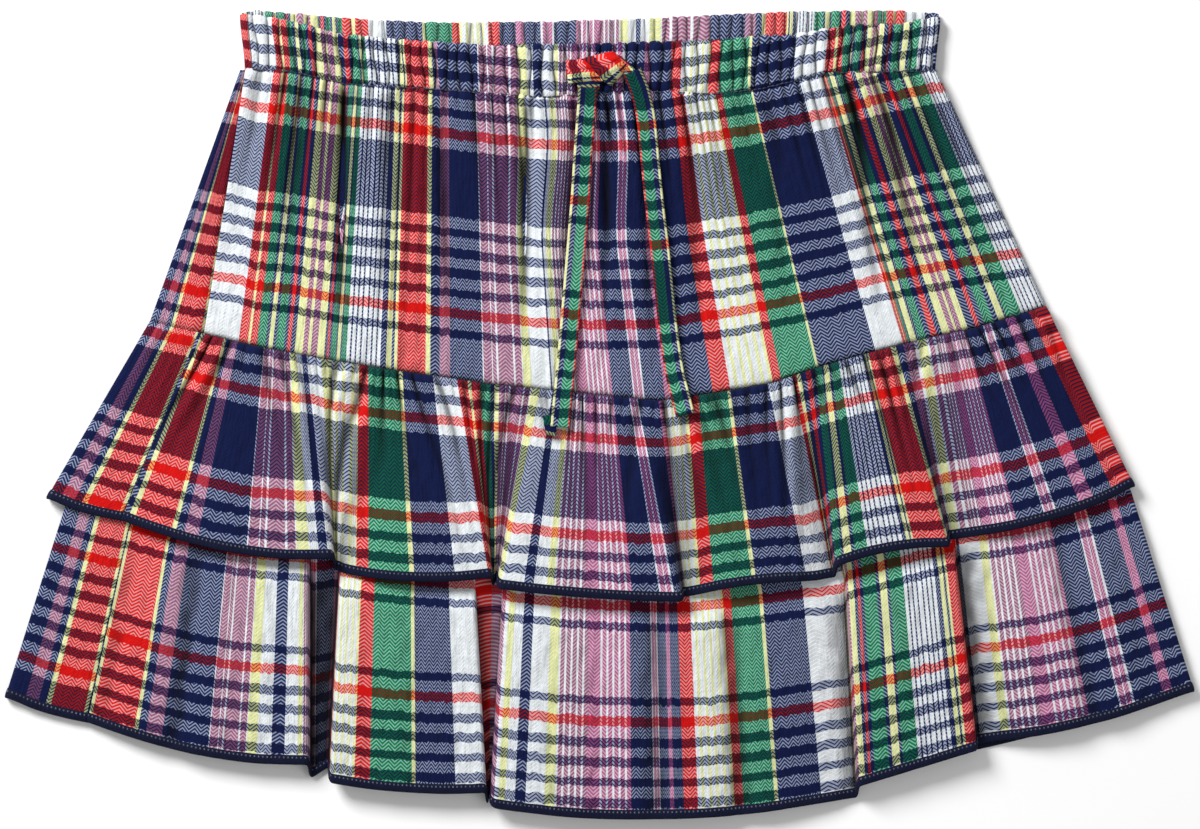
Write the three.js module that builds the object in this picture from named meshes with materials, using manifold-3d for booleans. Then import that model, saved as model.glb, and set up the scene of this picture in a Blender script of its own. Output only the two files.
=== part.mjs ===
// A tiered ruffle skirt laid flat, waist towards +Y, top side towards +Z, in millimetres
import * as THREE from "three";
import Module from "manifold-3d";

const wasm = await Module();
wasm.setup();
const { Manifold, Mesh } = wasm;

// Sizes
const STEP = 0.495; // one step of the tables below
const MIDDLE_ACROSS = 600; // the table step at x = 0
const MIDDLE_DOWN = 414.5; // the table step at y = 0
const CLOTH = 1.0; // cloth wall
const CASING = 2.0; // doubled cloth with the elastic between
const PART = 0.3; // space between two pieces at a seam
const BACK_LEVEL = 0.5; // middle of a wall that rests on the surface
const INNER_BACK_LEVEL = 1.95; // long ruffle's back, over the short ruffle's back
const LONG_LEVEL = 3.45; // long ruffle's front at the ruffle seam
const SHORT_LEVEL = 5.0; // short ruffle's front at the ruffle seam
const YOKE_LEVEL = 3.3; // upper tier's front, half way down
const CASING_LEVEL = 4.5; // front casing
const SHORT_LENGTH = 100; // short ruffle, seam to hem
const LONG_LENGTH = 206; // long ruffle, seam to hem
const DROP = 1.2; // table steps in which a steep edge falls to the floor of its flute row
const ROUND = 3.2; // table steps from a side edge to where its turn begins
const YOKE_WAVES = 40; // gathers across the front under the casing
const RUFFLE_WAVES = 42; // gathers across the front ruffle seam
const BACK_WAVES = 20; // gathers across the back casing

// Lines across the skirt, in table steps
const line = (...pairs) => pairs.map(([across, down]) => ({ across, down }));
const FRONT_TOP = line([240, 13], [287, 20], [342, 34], [404, 40], [479, 45], [600, 44], [715, 40],
  [795, 34], [848, 26], [898, 24], [940, 17]);
const STITCHING = line([240, 70], [287, 72], [342, 85], [434, 90], [541, 98], [646, 92], [715, 95],
  [761, 90], [830, 74], [900, 72], [940, 72]);
const BACK_TOP = line([240, 12], [257, 10], [342, 17], [422, 22], [553, 21], [669, 17], [795, 11], [898, 10], [940, 13]);
const BACK_STITCHING = line([240, 70], [940, 72]);
const RUFFLE_SEAM = line([150, 321], [201, 333], [255, 346], [329, 360], [400, 371], [490, 384], [579, 393],
  [660, 401], [727, 391], [773, 383], [819, 367], [869, 353], [928, 338], [975, 328], [1048, 306]);

// Short ruffle's flutes: each edge at the seam and at the hem, whether it stands up steeply,
// the face's height in mm, and how far the hem sags between the edges
const SHORT_FLUTES = [
  { left: { seam: 199, hem: 122, down: 519, steep: false }, right: { seam: 309, hem: 334, down: 557, steep: true }, crown: 9.6, sag: 13 },
  { left: { seam: 352, hem: 346, down: 573, steep: false }, right: { seam: 459, hem: 492, down: 576, steep: true }, crown: 9.4, sag: 6 },
  { left: { seam: 539, hem: 498, down: 587, steep: true }, right: { seam: 641, hem: 682, down: 600, steep: true }, crown: 10, sag: 3 },
  { left: { seam: 684, hem: 695, down: 594, steep: false }, right: { seam: 772, hem: 812, down: 580, steep: false }, crown: 9, sag: -4 },
  { left: { seam: 818, hem: 836, down: 565, steep: true }, right: { seam: 890, hem: 948, down: 546, steep: true }, crown: 10, sag: -6 },
  { left: { seam: 934, hem: 968, down: 536, steep: false }, right: { seam: 1022, hem: 1108, down: 499, steep: false }, crown: 8.6, sag: 5 },
];
// Long ruffle's flutes, with the edge also where it comes out from under the short ruffle
const LONG_FLUTES = [
  { left: { seam: 199, mid: 131, hem: 87, down: 721, steep: false },
    right: { seam: 308, mid: 309, hem: 309, down: 763, steep: true }, crown: 6.6, sag: 12 },
  { left: { seam: 361, mid: 341, hem: 330, down: 781, steep: true },
    right: { seam: 459, mid: 474, hem: 486, down: 791, steep: true }, crown: 7.2, sag: 5 },
  { left: { seam: 539, mid: 504, hem: 491, down: 806, steep: true },
    right: { seam: 752, mid: 806, hem: 828, down: 801, steep: false }, crown: 7, sag: 15 },
  { left: { seam: 813, mid: 846, hem: 858, down: 785, steep: true },
    right: { seam: 890, mid: 952, hem: 976, down: 749, steep: true }, crown: 7.4, sag: 0 },
  { left: { seam: 934, mid: 968, hem: 988, down: 741, steep: false },
    right: { seam: 1020, mid: 1104, hem: 1160, down: 702, steep: false }, crown: 6, sag: 6 },
];
// Soft dips that run down the faces: place at the top and at the bottom, width and depth in mm
const LONG_DIPS = [
  { top: 654, bottom: 656, wide: 12, deep: 1.6 },
  { top: 724, bottom: 741, wide: 10, deep: 1.8 },
  { top: 200, bottom: 170, wide: 14, deep: 1.0 },
  { top: 1050, bottom: 1090, wide: 16, deep: 1.0 },
];
const YOKE_FOLDS = [
  { top: 300, bottom: 280, wide: 14, deep: 1.2 },
  { top: 350, bottom: 336, wide: 9, deep: 1.8 },
  { top: 440, bottom: 430, wide: 16, deep: 0.9 },
  { top: 530, bottom: 524, wide: 9, deep: 1.6 },
  { top: 575, bottom: 562, wide: 9, deep: 1.2 },
  { top: 642, bottom: 655, wide: 9, deep: 1.3 },
  { top: 690, bottom: 700, wide: 10, deep: 1.1 },
  { top: 770, bottom: 790, wide: 14, deep: 0.9 },
  { top: 850, bottom: 884, wide: 9, deep: 1.7 },
  { top: 880, bottom: 930, wide: 9, deep: 1.4 },
];
// Flat ties: middle line, with its height in mm
const LEFT_TAIL = [
  { across: 588, down: 88, high: 9.0 }, { across: 586, down: 115, high: 8.0 }, { across: 583, down: 155, high: 7.1 },
  { across: 580, down: 200, high: 6.6 }, { across: 575, down: 260, high: 6.4 }, { across: 570, down: 320, high: 6.6 },
  { across: 566, down: 365, high: 7.7 }, { across: 563, down: 395, high: 9.6 }, { across: 560, down: 427, high: 11.0 },
];
const RIGHT_TAIL = [
  { across: 632, down: 72, high: 9.6 }, { across: 640, down: 92, high: 8.8 }, { across: 646, down: 120, high: 7.8 },
  { across: 650, down: 160, high: 7.0 }, { across: 654, down: 200, high: 6.6 }, { across: 661, down: 260, high: 6.4 },
  { across: 667, down: 320, high: 6.7 }, { across: 674, down: 370, high: 7.9 }, { across: 680, down: 395, high: 9.6 },
  { across: 685, down: 415, high: 10.6 },
];
const TAIL_WIDTH = 9.4;
const TAIL_THICK = 1.6;

// Small helpers
const mix = (a, b, t) => a + (b - a) * t;
const clamp = (v) => Math.min(1, Math.max(0, v));
const ease = (a, b, v) => {
  const t = clamp((v - a) / (b - a));
  return t * t * (3 - 2 * t);
};
const acrossMm = (step) => (step - MIDDLE_ACROSS) * STEP;
const downMm = (step) => (MIDDLE_DOWN - step) * STEP;
const chance = (n) => {
  const v = Math.sin(n * 127.1 + 11.7) * 43758.5453;
  return v - Math.floor(v);
};

// Height down the page of a line at a place across it
function lineAt(table, across) {
  let k = 0;
  while (k < table.length - 2 && across > table[k + 1].across) k += 1;
  const a = table[k];
  const b = table[k + 1];
  return mix(a.down, b.down, clamp((across - a.across) / (b.across - a.across)));
}

// One soft gather after another: 0 between gathers, 1 on a gather's crest, each with its own reach
function gather(turns, distance, shortest, longest, seed) {
  const n = Math.floor(turns);
  const t = turns - n;
  const reach = mix(shortest, longest, chance(n + seed) ** 2);
  const fade = Math.exp(-((distance / reach) ** 2));
  return Math.sin(Math.PI * t) ** 2 * (0.6 + 0.4 * chance(n * 3 + seed + 5)) * fade;
}

// Depth of the soft folds at a place, 0 or more
function dips(table, across, down) {
  let depth = 0;
  for (const f of table) {
    const away = (across - mix(f.top, f.bottom, down)) * STEP;
    depth += f.deep * Math.exp(-((away / (f.wide / 2)) ** 2));
  }
  return depth;
}

// Points along a smooth curve drawn inside its corners, with a count of points for each corner
function smoothed(corners, counts) {
  const keys = Object.keys(corners[0]);
  const between = (a, b, t) => Object.fromEntries(keys.map((k) => [k, mix(a[k], b[k], t)]));
  const last = corners.length - 1;
  const points = [corners[0]];
  for (let k = 1; k < last; k += 1) {
    const from = k === 1 ? corners[0] : between(corners[k - 1], corners[k], 0.5);
    const to = k === last - 1 ? corners[last] : between(corners[k], corners[k + 1], 0.5);
    const n = counts(k, from, to);
    for (let i = 1; i <= n; i += 1) {
      const t = i / n;
      points.push(between(between(from, corners[k], t), between(corners[k], to, t), t));
    }
  }
  return points;
}

// Fill the columns that a hidden corner leaves out, evenly from its neighbours
function filled(corners, column) {
  corners.forEach((c, k) => {
    if (c[column] !== undefined) return;
    let a = k;
    let b = k;
    while (corners[a][column] === undefined) a -= 1;
    while (corners[b][column] === undefined) b += 1;
    c[column] = mix(corners[a][column], corners[b][column], (k - a) / (b - a));
  });
}

// Corners of a row of flutes, left to right, from the floor up each steep edge and over the face
function fluteCorners(flutes, floor) {
  const corners = [];
  const add = (edge, seam, shift, high, down) =>
    corners.push({
      seam,
      mid: (edge.mid ?? edge.hem) + shift,
      hem: edge.hem + shift,
      down,
      high,
    });
  flutes.forEach((f, n) => {
    const l = f.left;
    const r = f.right;
    if (l.steep) {
      add(l, undefined, -DROP, floor, undefined);
      add(l, l.seam, 0, f.crown - 0.2, l.down);
    } else {
      add(l, l.seam, 0, n === 0 ? mix(floor, f.crown, 0.35) : floor + 0.8, l.down);
    }
    for (const t of [0.3, 0.7]) {
      corners.push({
        seam: mix(l.seam, r.seam, t),
        mid: mix(l.mid ?? l.hem, r.mid ?? r.hem, t),
        hem: mix(l.hem, r.hem, t),
        down: mix(l.down, r.down, t) + f.sag,
        high: f.crown,
      });
    }
    if (r.steep) {
      add(r, r.seam, 0, f.crown - 0.2, r.down);
      add(r, undefined, DROP, floor, undefined);
    } else {
      add(r, r.seam, 0, mix(floor, f.crown, 0.45), r.down);
    }
  });
  return corners;
}

// A closed wall from rows of middle points; the outside is to the left of a row seen from its top
function wall(name, colour, rows, thick, bump = () => 0) {
  const high = rows.length;
  const wide = rows[0].length;
  const at = (j, i) => rows[Math.min(high - 1, Math.max(0, j))][Math.min(wide - 1, Math.max(0, i))];
  const outer = [];
  const inner = [];
  for (let j = 0; j < high; j += 1) {
    for (let i = 0; i < wide; i += 1) {
      const down = at(j + 1, i).clone().sub(at(j - 1, i));
      const along = at(j, i + 1).clone().sub(at(j, i - 1));
      const normal = down.cross(along).normalize();
      outer.push(at(j, i).clone().addScaledVector(normal, thick / 2 + bump(j, i)));
      inner.push(at(j, i).clone().addScaledVector(normal, -thick / 2));
    }
  }
  const total = outer.length;
  const id = (j, i) => j * wide + i;
  const faces = [];
  const quad = (a, b, c, d) => faces.push(a, b, c, a, c, d);
  for (let j = 0; j < high - 1; j += 1) {
    for (let i = 0; i < wide - 1; i += 1) {
      quad(id(j, i), id(j + 1, i), id(j + 1, i + 1), id(j, i + 1));
      quad(total + id(j, i), total + id(j, i + 1), total + id(j + 1, i + 1), total + id(j + 1, i));
    }
  }
  for (let i = 0; i < wide - 1; i += 1) {
    const b = high - 1;
    quad(id(0, i), id(0, i + 1), total + id(0, i + 1), total + id(0, i));
    quad(id(b, i + 1), id(b, i), total + id(b, i), total + id(b, i + 1));
  }
  for (let j = 0; j < high - 1; j += 1) {
    const r = wide - 1;
    quad(id(j + 1, 0), id(j, 0), total + id(j, 0), total + id(j + 1, 0));
    quad(id(j, r), id(j + 1, r), total + id(j + 1, r), total + id(j, r));
  }
  return meshOf(name, colour, [...outer, ...inner], faces);
}

// A named mesh
function meshOf(name, colour, points, faces) {
  const geometry = new THREE.BufferGeometry();
  geometry.setAttribute("position", new THREE.Float32BufferAttribute(points.flatMap((p) => [p.x, p.y, p.z]), 3));
  geometry.setIndex(faces);
  geometry.computeVertexNormals();
  const mesh = new THREE.Mesh(geometry, new THREE.MeshStandardMaterial({ color: colour, roughness: 0.9 }));
  mesh.name = name;
  return mesh;
}

// Points of a ruffle between its seam and its hem, from its corners
function ruffleRows(columns, shares, length, place) {
  return shares.map((share) => columns.map((c) => place(c, share, share * length)));
}

// A ruffle's side edge, turned from the front level to the back level round a small radius
const hookOut = (seam, mid, hem, down, front, back) => [
  { seam: seam - ROUND, mid: mid - ROUND, hem: hem - ROUND, down, high: front },
  { seam, mid, hem, down, high: front },
  { seam, mid, hem, down: down - 1, high: back },
  { seam: seam - ROUND, mid: mid - ROUND, hem: hem - ROUND, down: down - 1, high: back },
];

// Front of the short ruffle
const shortFloor = SHORT_LEVEL + 0.3;
const shortCorners = fluteCorners(SHORT_FLUTES, shortFloor);
shortCorners.push(...hookOut(1046, 1134, 1134, 486, 6.2, BACK_LEVEL));
shortCorners.push({ seam: 1016, mid: 1100, hem: 1100, down: 500, high: BACK_LEVEL });
filled(shortCorners, "seam");
filled(shortCorners, "down");
const shortDense = smoothed(shortCorners, () => 24);
const shortCount = RUFFLE_WAVES * 4;
const seamStart = 199;
const seamEnd = 1040;
// Even steps along the gathered seam, then the turned part at the side
const shortColumns = [];
for (let n = 0; n <= shortCount; n += 1) {
  const want = mix(seamStart, seamEnd, n / shortCount);
  let k = 0;
  while (k < shortDense.length - 2 && shortDense[k + 1].seam < want) k += 1;
  const a = shortDense[k];
  const b = shortDense[k + 1];
  const t = clamp((want - a.seam) / (b.seam - a.seam || 1));
  const c = Object.fromEntries(Object.keys(a).map((key) => [key, mix(a[key], b[key], t)]));
  c.turns = n / 4;
  shortColumns.push(c);
}
const lastEven = shortDense.findIndex((c, k) => c.seam >= seamEnd && k > 0);
for (let k = Math.ceil((lastEven + 12) / 24) * 24; k < shortDense.length; k += 24) {
  shortColumns.push({ ...shortDense[k], turns: 0 });
}

const placeShort = (c, share, distance) => {
  const rise = ease(0.02, 0.75, share);
  const across = acrossMm(mix(c.seam, c.hem, share));
  const down = downMm(mix(lineAt(RUFFLE_SEAM, c.seam), c.down, share)) - PART / 2;
  const start = c.high < 1 ? BACK_LEVEL : SHORT_LEVEL;
  const edge = c.high < SHORT_LEVEL ? clamp((c.high - BACK_LEVEL) / (SHORT_LEVEL - BACK_LEVEL)) : 1;
  const level = mix(mix(BACK_LEVEL, start, edge), c.high, rise);
  const bump = c.turns ? 1.5 * gather(c.turns, distance, 16, 62, 0) * ease(-0.06, 0.05, share) : 0;
  return new THREE.Vector3(across, down, level + bump);
};
const shortShares = [0, 0.07, 0.18, 0.36, 0.64, 1];

// Front of the long ruffle
const longFloor = 2.15;
const longCorners = fluteCorners(LONG_FLUTES, longFloor);
longCorners.push(...hookOut(1042, 1131, 1194, 691, 4.6, BACK_LEVEL));
longCorners.push({ seam: 1014, mid: 1098, hem: 1160, down: 702, high: BACK_LEVEL });
filled(longCorners, "seam");
filled(longCorners, "down");
const longColumns = smoothed(longCorners, (k, from, to) => {
  if (k > longCorners.length - 6) return 1;
  return Math.abs(to.hem - from.hem) > 30 ? 4 : 2;
});
const COMES_OUT = 0.48; // share of the long ruffle that the short one covers
const alongWarp = (seam, mid, hem, share) =>
  share < COMES_OUT ? mix(seam, mid, share / COMES_OUT) : mix(mid, hem, (share - COMES_OUT) / (1 - COMES_OUT));
const placeLong = (c, share) => {
  const grown = ease(0.45, 0.61, share);
  const evenly = clamp((c.seam - 199) / (1042 - 199));
  const even = alongWarp(c.seam, mix(131, 1131, evenly), mix(87, 1194, evenly), share);
  const backSide = c.high < longFloor - 0.1;
  const across = acrossMm(mix(even, alongWarp(c.seam, c.mid, c.hem, share), backSide ? 1 : grown));
  const down = downMm(mix(lineAt(RUFFLE_SEAM, c.seam), c.down, share)) - PART / 2;
  const back = mix(INNER_BACK_LEVEL, BACK_LEVEL, ease(0.5, 0.58, share));
  const edge = clamp((c.high - BACK_LEVEL) / (longFloor - BACK_LEVEL));
  const flat = mix(back, LONG_LEVEL, edge);
  const folds = mix(flat, mix(back, Math.max(c.high, longFloor), edge), grown);
  const dip = backSide ? 0 : grown * dips(LONG_DIPS, mix(c.mid, c.hem, share), share) * clamp((c.high - 4.5) / 2);
  return new THREE.Vector3(across, down, folds - dip);
};
const longShares = [0, 0.25, 0.47, 0.54, 0.62, 0.82, 1];

// A back ruffle, from its right seam under the skirt, round its left edge to the seam on the front
function backCorners(spec) {
  const b = BACK_LEVEL;
  const inside = (c, by) => ({ ...c, seam: c.seam + by, mid: c.mid + by, hem: c.hem + by });
  return [
    { ...spec.right, high: b },
    { seam: 860, mid: mix(600, spec.right.mid, 0.58), hem: mix(600, spec.right.hem, 0.58), down: spec.third, high: b },
    { seam: 600, mid: 600, hem: 600, down: spec.middle, high: b },
    { seam: 350, mid: mix(600, spec.left.mid, 0.5), hem: mix(600, spec.left.hem, 0.5), down: spec.first, high: b },
    { ...inside(spec.left, ROUND), high: b },
    { ...spec.left, high: b },
    { ...spec.left, down: spec.left.down + 1 },
    { ...inside(spec.left, ROUND), down: spec.left.down + 1 },
    {
      seam: mix(spec.left.seam, spec.front.seam, 0.5),
      mid: mix(spec.left.mid, spec.front.mid, 0.5),
      hem: mix(spec.left.hem, spec.front.hem, 0.5),
      down: mix(spec.left.down, spec.front.down, 0.5) + 5,
      high: mix(spec.left.high, spec.front.high, 0.6),
    },
    spec.front,
  ];
}
const backCounts = (k) => (k < 4 ? 4 : 1 + (k > 6));
const shortBack = smoothed(backCorners({
  right: { seam: 1015, mid: 1057, hem: 1099, down: 500 },
  third: 540,
  middle: 574,
  first: 545,
  left: { seam: 150, mid: 99, hem: 47, down: 497, high: 6.0 },
  front: { seam: 198.4, mid: 160, hem: 121.4, down: 519, high: mix(shortFloor, 9.6, 0.35) },
}), backCounts);
const longBack = smoothed(backCorners({
  right: { seam: 1013, mid: 1097, hem: 1159, down: 702 },
  third: 770,
  middle: 800,
  first: 766,
  left: { seam: 157, mid: 66, hem: 5, down: 696, high: 4.2 },
  front: { seam: 198.4, mid: 130.4, hem: 86.4, down: 721, high: mix(longFloor, 6.6, 0.35) },
}), backCounts);
const placeShortBack = (c, share) => {
  const across = acrossMm(mix(c.seam, c.hem, share));
  const down = downMm(mix(lineAt(RUFFLE_SEAM, c.seam), c.down, share)) - PART / 2;
  const edge = clamp((c.high - BACK_LEVEL) / (SHORT_LEVEL - BACK_LEVEL));
  const rise = ease(0.02, 0.75, share);
  return new THREE.Vector3(across, down, mix(mix(BACK_LEVEL, SHORT_LEVEL, edge), c.high, rise));
};
const placeLongBack = (c, share) => {
  const across = acrossMm(alongWarp(c.seam, c.mid, c.hem, share));
  const down = downMm(mix(lineAt(RUFFLE_SEAM, c.seam), c.down, share)) - PART / 2;
  const back = mix(INNER_BACK_LEVEL, BACK_LEVEL, ease(0.5, 0.58, share));
  const grown = ease(0.45, 0.61, share);
  const edge = clamp((c.high - BACK_LEVEL) / (longFloor - BACK_LEVEL));
  const flat = mix(back, LONG_LEVEL, edge);
  return new THREE.Vector3(across, down, mix(flat, mix(back, Math.max(c.high, longFloor), edge), grown));
};

// Upper tier: a row runs along the casing stitching, and a column down to the ruffle seam
const yokeRight = { top: 933, bottom: 1042 };
const yokeCount = YOKE_WAVES * 4;
const yokeColumns = [];
for (let n = 0; n <= yokeCount; n += 1) {
  const t = n / yokeCount;
  yokeColumns.push({ top: mix(246, 931, t), bottom: mix(204, 1036, t), high: 1, turns: n / 4 });
}
for (const [out, high] of [[0.7, 0.96], [1, 0.75], [1.15, 0.5], [1, 0.25], [0.4, 0.02], [-1, 0], [-4, 0]]) {
  yokeColumns.push({ top: yokeRight.top + out * 4 - 1, bottom: yokeRight.bottom + out * 6 - 3, high, turns: 0 });
}
const placeYoke = (c, share) => {
  const topDown = lineAt(c.high < 0.5 ? BACK_STITCHING : STITCHING, c.top);
  const across = acrossMm(mix(c.top, c.bottom, share));
  const down = mix(downMm(topDown) - PART / 2, downMm(lineAt(RUFFLE_SEAM, c.bottom)) + PART / 2, share);
  const length = (lineAt(RUFFLE_SEAM, c.bottom) - topDown) * STEP;
  const level = mix(mix(CASING_LEVEL, YOKE_LEVEL, ease(0, 0.3, share)), SHORT_LEVEL, ease(0.6, 1, share));
  const waves = c.turns ? 1.7 * gather(c.turns, share * length, 22, 125, 40) : 0;
  const side = clamp((across - acrossMm(215)) / 14) * clamp((acrossMm(1030) - across) / 14);
  const folds = dips(YOKE_FOLDS, mix(c.top, c.bottom, share), share) * ease(0.02, 0.3, share) * ease(1, 0.8, share);
  const ripple = (waves - Math.min(1, folds * 0.6) + folds * 0.9) * side;
  return new THREE.Vector3(across, down, mix(BACK_LEVEL, level, c.high) + (c.high > 0.9 ? ripple : 0));
};
const yokeShares = [0, 0.08, 0.2, 0.42, 0.7, 1];
const yokeBackColumns = shortBack.map((c) => ({
  top: c.high < 1 ? mix(239.6, 915.4, (c.seam - 150) / (1015 - 150)) : mix(239.6, 245.4, ((c.seam - 150) / 48.4) ** 0.4),
  bottom: c.seam,
  high: clamp((c.high - BACK_LEVEL) / (6.0 - BACK_LEVEL)),
}));
const placeYokeBack = (c, share) => {
  const topDown = lineAt(c.high > 0.5 ? STITCHING : BACK_STITCHING, c.top);
  const across = acrossMm(mix(c.top, c.bottom, share));
  const down = mix(downMm(topDown) - PART / 2, downMm(lineAt(RUFFLE_SEAM, c.bottom)) + PART / 2, share);
  const level = mix(mix(CASING_LEVEL, YOKE_LEVEL, ease(0, 0.3, share)), SHORT_LEVEL, ease(0.6, 1, share));
  return new THREE.Vector3(across, down, mix(BACK_LEVEL, level, c.high));
};

// Casings, gathered on the outside
const casingRows = (columns, top, bottom, shares, place) =>
  shares.map((share) => columns.map((c) => place(c, share, lineAt(top, c.across), lineAt(bottom, c.across))));
const frontCasing = [{ across: 240.6, high: 0.55, turns: 0 }, { across: 240.6, high: 0.8, turns: 0 }];
for (let n = 0; n <= yokeCount; n += 1) {
  frontCasing.push({ across: mix(243, 937, n / yokeCount), high: 1, turns: n / 4 });
}
frontCasing.push({ across: 939.4, high: 0.8, turns: 0 }, { across: 939.4, high: 0.55, turns: 0 });
const narrowed = (across, share) => mix(across, mix(across, 590, 0.014), ease(0, 1, share));
const placeFrontCasing = (c, share, top, bottom) =>
  new THREE.Vector3(
    acrossMm(narrowed(c.across, share)),
    mix(downMm(top), downMm(bottom) + PART / 2, share),
    mix(CASING / 2, CASING_LEVEL, c.high),
  );
const backCasing = [{ across: 939.4, high: 0.45, turns: 0 }, { across: 939.4, high: 0.2, turns: 0 }];
for (let n = 0; n <= BACK_WAVES * 4; n += 1) {
  backCasing.push({ across: mix(937, 243, n / (BACK_WAVES * 4)), high: 0, turns: n / 4 });
}
backCasing.push({ across: 240.6, high: 0.2, turns: 0 }, { across: 240.6, high: 0.45, turns: 0 });

// A flat tie along its middle line, with rounded long edges
function tie(name, colour, path, width, thick) {
  const curve = new THREE.CatmullRomCurve3(path.map((p) => new THREE.Vector3(acrossMm(p.across), downMm(p.down), p.high)));
  const stations = path.length * 2;
  const rim = [[-1, 0], [-0.86, 0.8], [-0.4, 1], [0.4, 1], [0.86, 0.8], [1, 0], [0.86, -0.8], [0.4, -1], [-0.4, -1], [-0.86, -0.8]];
  const points = [];
  const faces = [];
  for (let s = 0; s <= stations; s += 1) {
    const p = curve.getPointAt(s / stations);
    const along = curve.getTangentAt(s / stations);
    const side = new THREE.Vector3(0, 0, 1).cross(along).normalize();
    const up = along.clone().cross(side).normalize();
    for (const [a, b] of rim) {
      points.push(p.clone().addScaledVector(side, (a * width) / 2).addScaledVector(up, (b * thick) / 2));
    }
  }
  const n = rim.length;
  for (let s = 0; s < stations; s += 1) {
    for (let k = 0; k < n; k += 1) {
      const a = s * n + k;
      const b = s * n + ((k + 1) % n);
      faces.push(a, a + n, b, b, a + n, b + n);
    }
  }
  for (let k = 1; k < n - 1; k += 1) {
    faces.push(0, k, k + 1);
    faces.push(stations * n, stations * n + k + 1, stations * n + k);
  }
  return meshOf(name, colour, points, faces);
}

// A soft flat lump of the knot: middle, half length, half width, half height, turn
function lump(across, down, high, long, wide, tall, turn) {
  const ball = new THREE.SphereGeometry(1, 12, 8);
  const p = ball.attributes.position;
  for (let k = 0; k < p.count; k += 1) {
    const v = new THREE.Vector3().fromBufferAttribute(p, k);
    const square = (w) => Math.sign(w) * Math.abs(w) ** 0.6;
    v.set(square(v.x) * long, square(v.y) * wide, square(v.z) * tall);
    v.applyAxisAngle(new THREE.Vector3(0, 0, 1), turn);
    p.setXYZ(k, v.x + acrossMm(across), v.y + downMm(down), v.z + high);
  }
  const mesh = new Mesh({
    numProp: 3,
    vertProperties: new Float32Array(p.array),
    triVerts: new Uint32Array(ball.index.array),
  });
  mesh.merge();
  return new Manifold(mesh);
}

// Knot: a loop to the left, the wrap across it, and the band behind that leads to the right tail
function knot(name, colour) {
  const loop = lump(582, 72, 9.2, 7.6, 5.6, 1.7, 0.04);
  const wrap = lump(606, 70, 10.2, 8.4, 5.0, 2.1, -0.62);
  const band = lump(616, 60, 9.0, 6.2, 3.0, 1.5, -0.3);
  const whole = Manifold.union([loop, wrap, band]).getMesh();
  const points = [];
  for (let k = 0; k < whole.vertProperties.length; k += whole.numProp) {
    points.push(new THREE.Vector3(...whole.vertProperties.slice(k, k + 3)));
  }
  return meshOf(name, colour, points, [...whole.triVerts]);
}

// The skirt
const skirt = new THREE.Group();
skirt.name = "tiered_ruffle_skirt";
skirt.add(
  wall("waistband_front", "#5b6fa8", casingRows(frontCasing, FRONT_TOP, STITCHING, [0, 0.5, 1], placeFrontCasing), CASING,
    (j, i) => {
      const c = frontCasing[i];
      return c.turns ? 1.5 * gather(c.turns, 0, 1, 2, 40) * [0.6, 1, 0.7][j] : 0;
    }),
  wall("waistband_back", "#8a93b8", casingRows(backCasing, BACK_TOP, BACK_STITCHING, [0, 0.35, 1], (c, share, top, bottom) =>
    new THREE.Vector3(acrossMm(narrowed(c.across, share)), mix(downMm(top), downMm(bottom) + PART / 2, share),
      mix(CASING / 2, CASING_LEVEL, c.high))), CASING),
  wall("upper_tier_front", "#b04a55", ruffleRows(yokeColumns, yokeShares, 1, placeYoke), CLOTH),
  wall("upper_tier_back", "#c98a8f", ruffleRows(yokeBackColumns, [0, 0.3, 0.6, 0.8, 1], 1, placeYokeBack), CLOTH),
  wall("short_ruffle_front", "#2f7d5b", ruffleRows(shortColumns, shortShares, SHORT_LENGTH, placeShort), CLOTH),
  wall("short_ruffle_back", "#7db298", ruffleRows(shortBack, [0, 0.25, 0.5, 0.75, 1], SHORT_LENGTH, placeShortBack), CLOTH),
  wall("long_ruffle_front", "#35478f", ruffleRows(longColumns, longShares, LONG_LENGTH, placeLong), CLOTH),
  wall("long_ruffle_back", "#8c97c4", ruffleRows(longBack, longShares, LONG_LENGTH, placeLongBack), CLOTH),
  knot("tie_knot", "#c9a23b"),
  tie("tie_tail_left", "#2a8f6a", LEFT_TAIL, TAIL_WIDTH, TAIL_THICK),
  tie("tie_tail_right", "#2a8f6a", RIGHT_TAIL, TAIL_WIDTH, TAIL_THICK),
);
export default skirt;
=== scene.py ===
# Dresses the laid tiered skirt: yarn-dyed plaid twill, gathers, overlocked hems, stitching and flat ties
import math
import bpy
import numpy as np
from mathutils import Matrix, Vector


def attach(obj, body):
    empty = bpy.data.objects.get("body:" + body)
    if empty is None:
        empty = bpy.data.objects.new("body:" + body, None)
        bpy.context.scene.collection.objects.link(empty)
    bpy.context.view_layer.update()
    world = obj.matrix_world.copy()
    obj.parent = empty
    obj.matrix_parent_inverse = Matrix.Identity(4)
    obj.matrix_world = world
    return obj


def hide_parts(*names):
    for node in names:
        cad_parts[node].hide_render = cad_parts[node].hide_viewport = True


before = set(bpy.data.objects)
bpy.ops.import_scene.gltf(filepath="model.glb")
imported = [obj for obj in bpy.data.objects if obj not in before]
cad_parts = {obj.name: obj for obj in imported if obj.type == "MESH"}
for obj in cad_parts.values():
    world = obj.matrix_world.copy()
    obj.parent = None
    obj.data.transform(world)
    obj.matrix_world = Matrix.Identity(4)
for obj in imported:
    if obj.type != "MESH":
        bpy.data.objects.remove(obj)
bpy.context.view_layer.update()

# Driving sizes, in millimetres unless they say otherwise
MM = 0.001
STEP = 0.495  # one step of the tables
MIDDLE_ACROSS = 600
MIDDLE_DOWN = 414.5
SHELL = 0.5  # thickness of the cloth
CASING_SHELL = 1.2  # doubled cloth of the casing
BACK_LEVEL = 0.5
INNER_BACK_LEVEL = 1.95
LONG_LEVEL = 3.45
SHORT_LEVEL = 5.0
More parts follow.
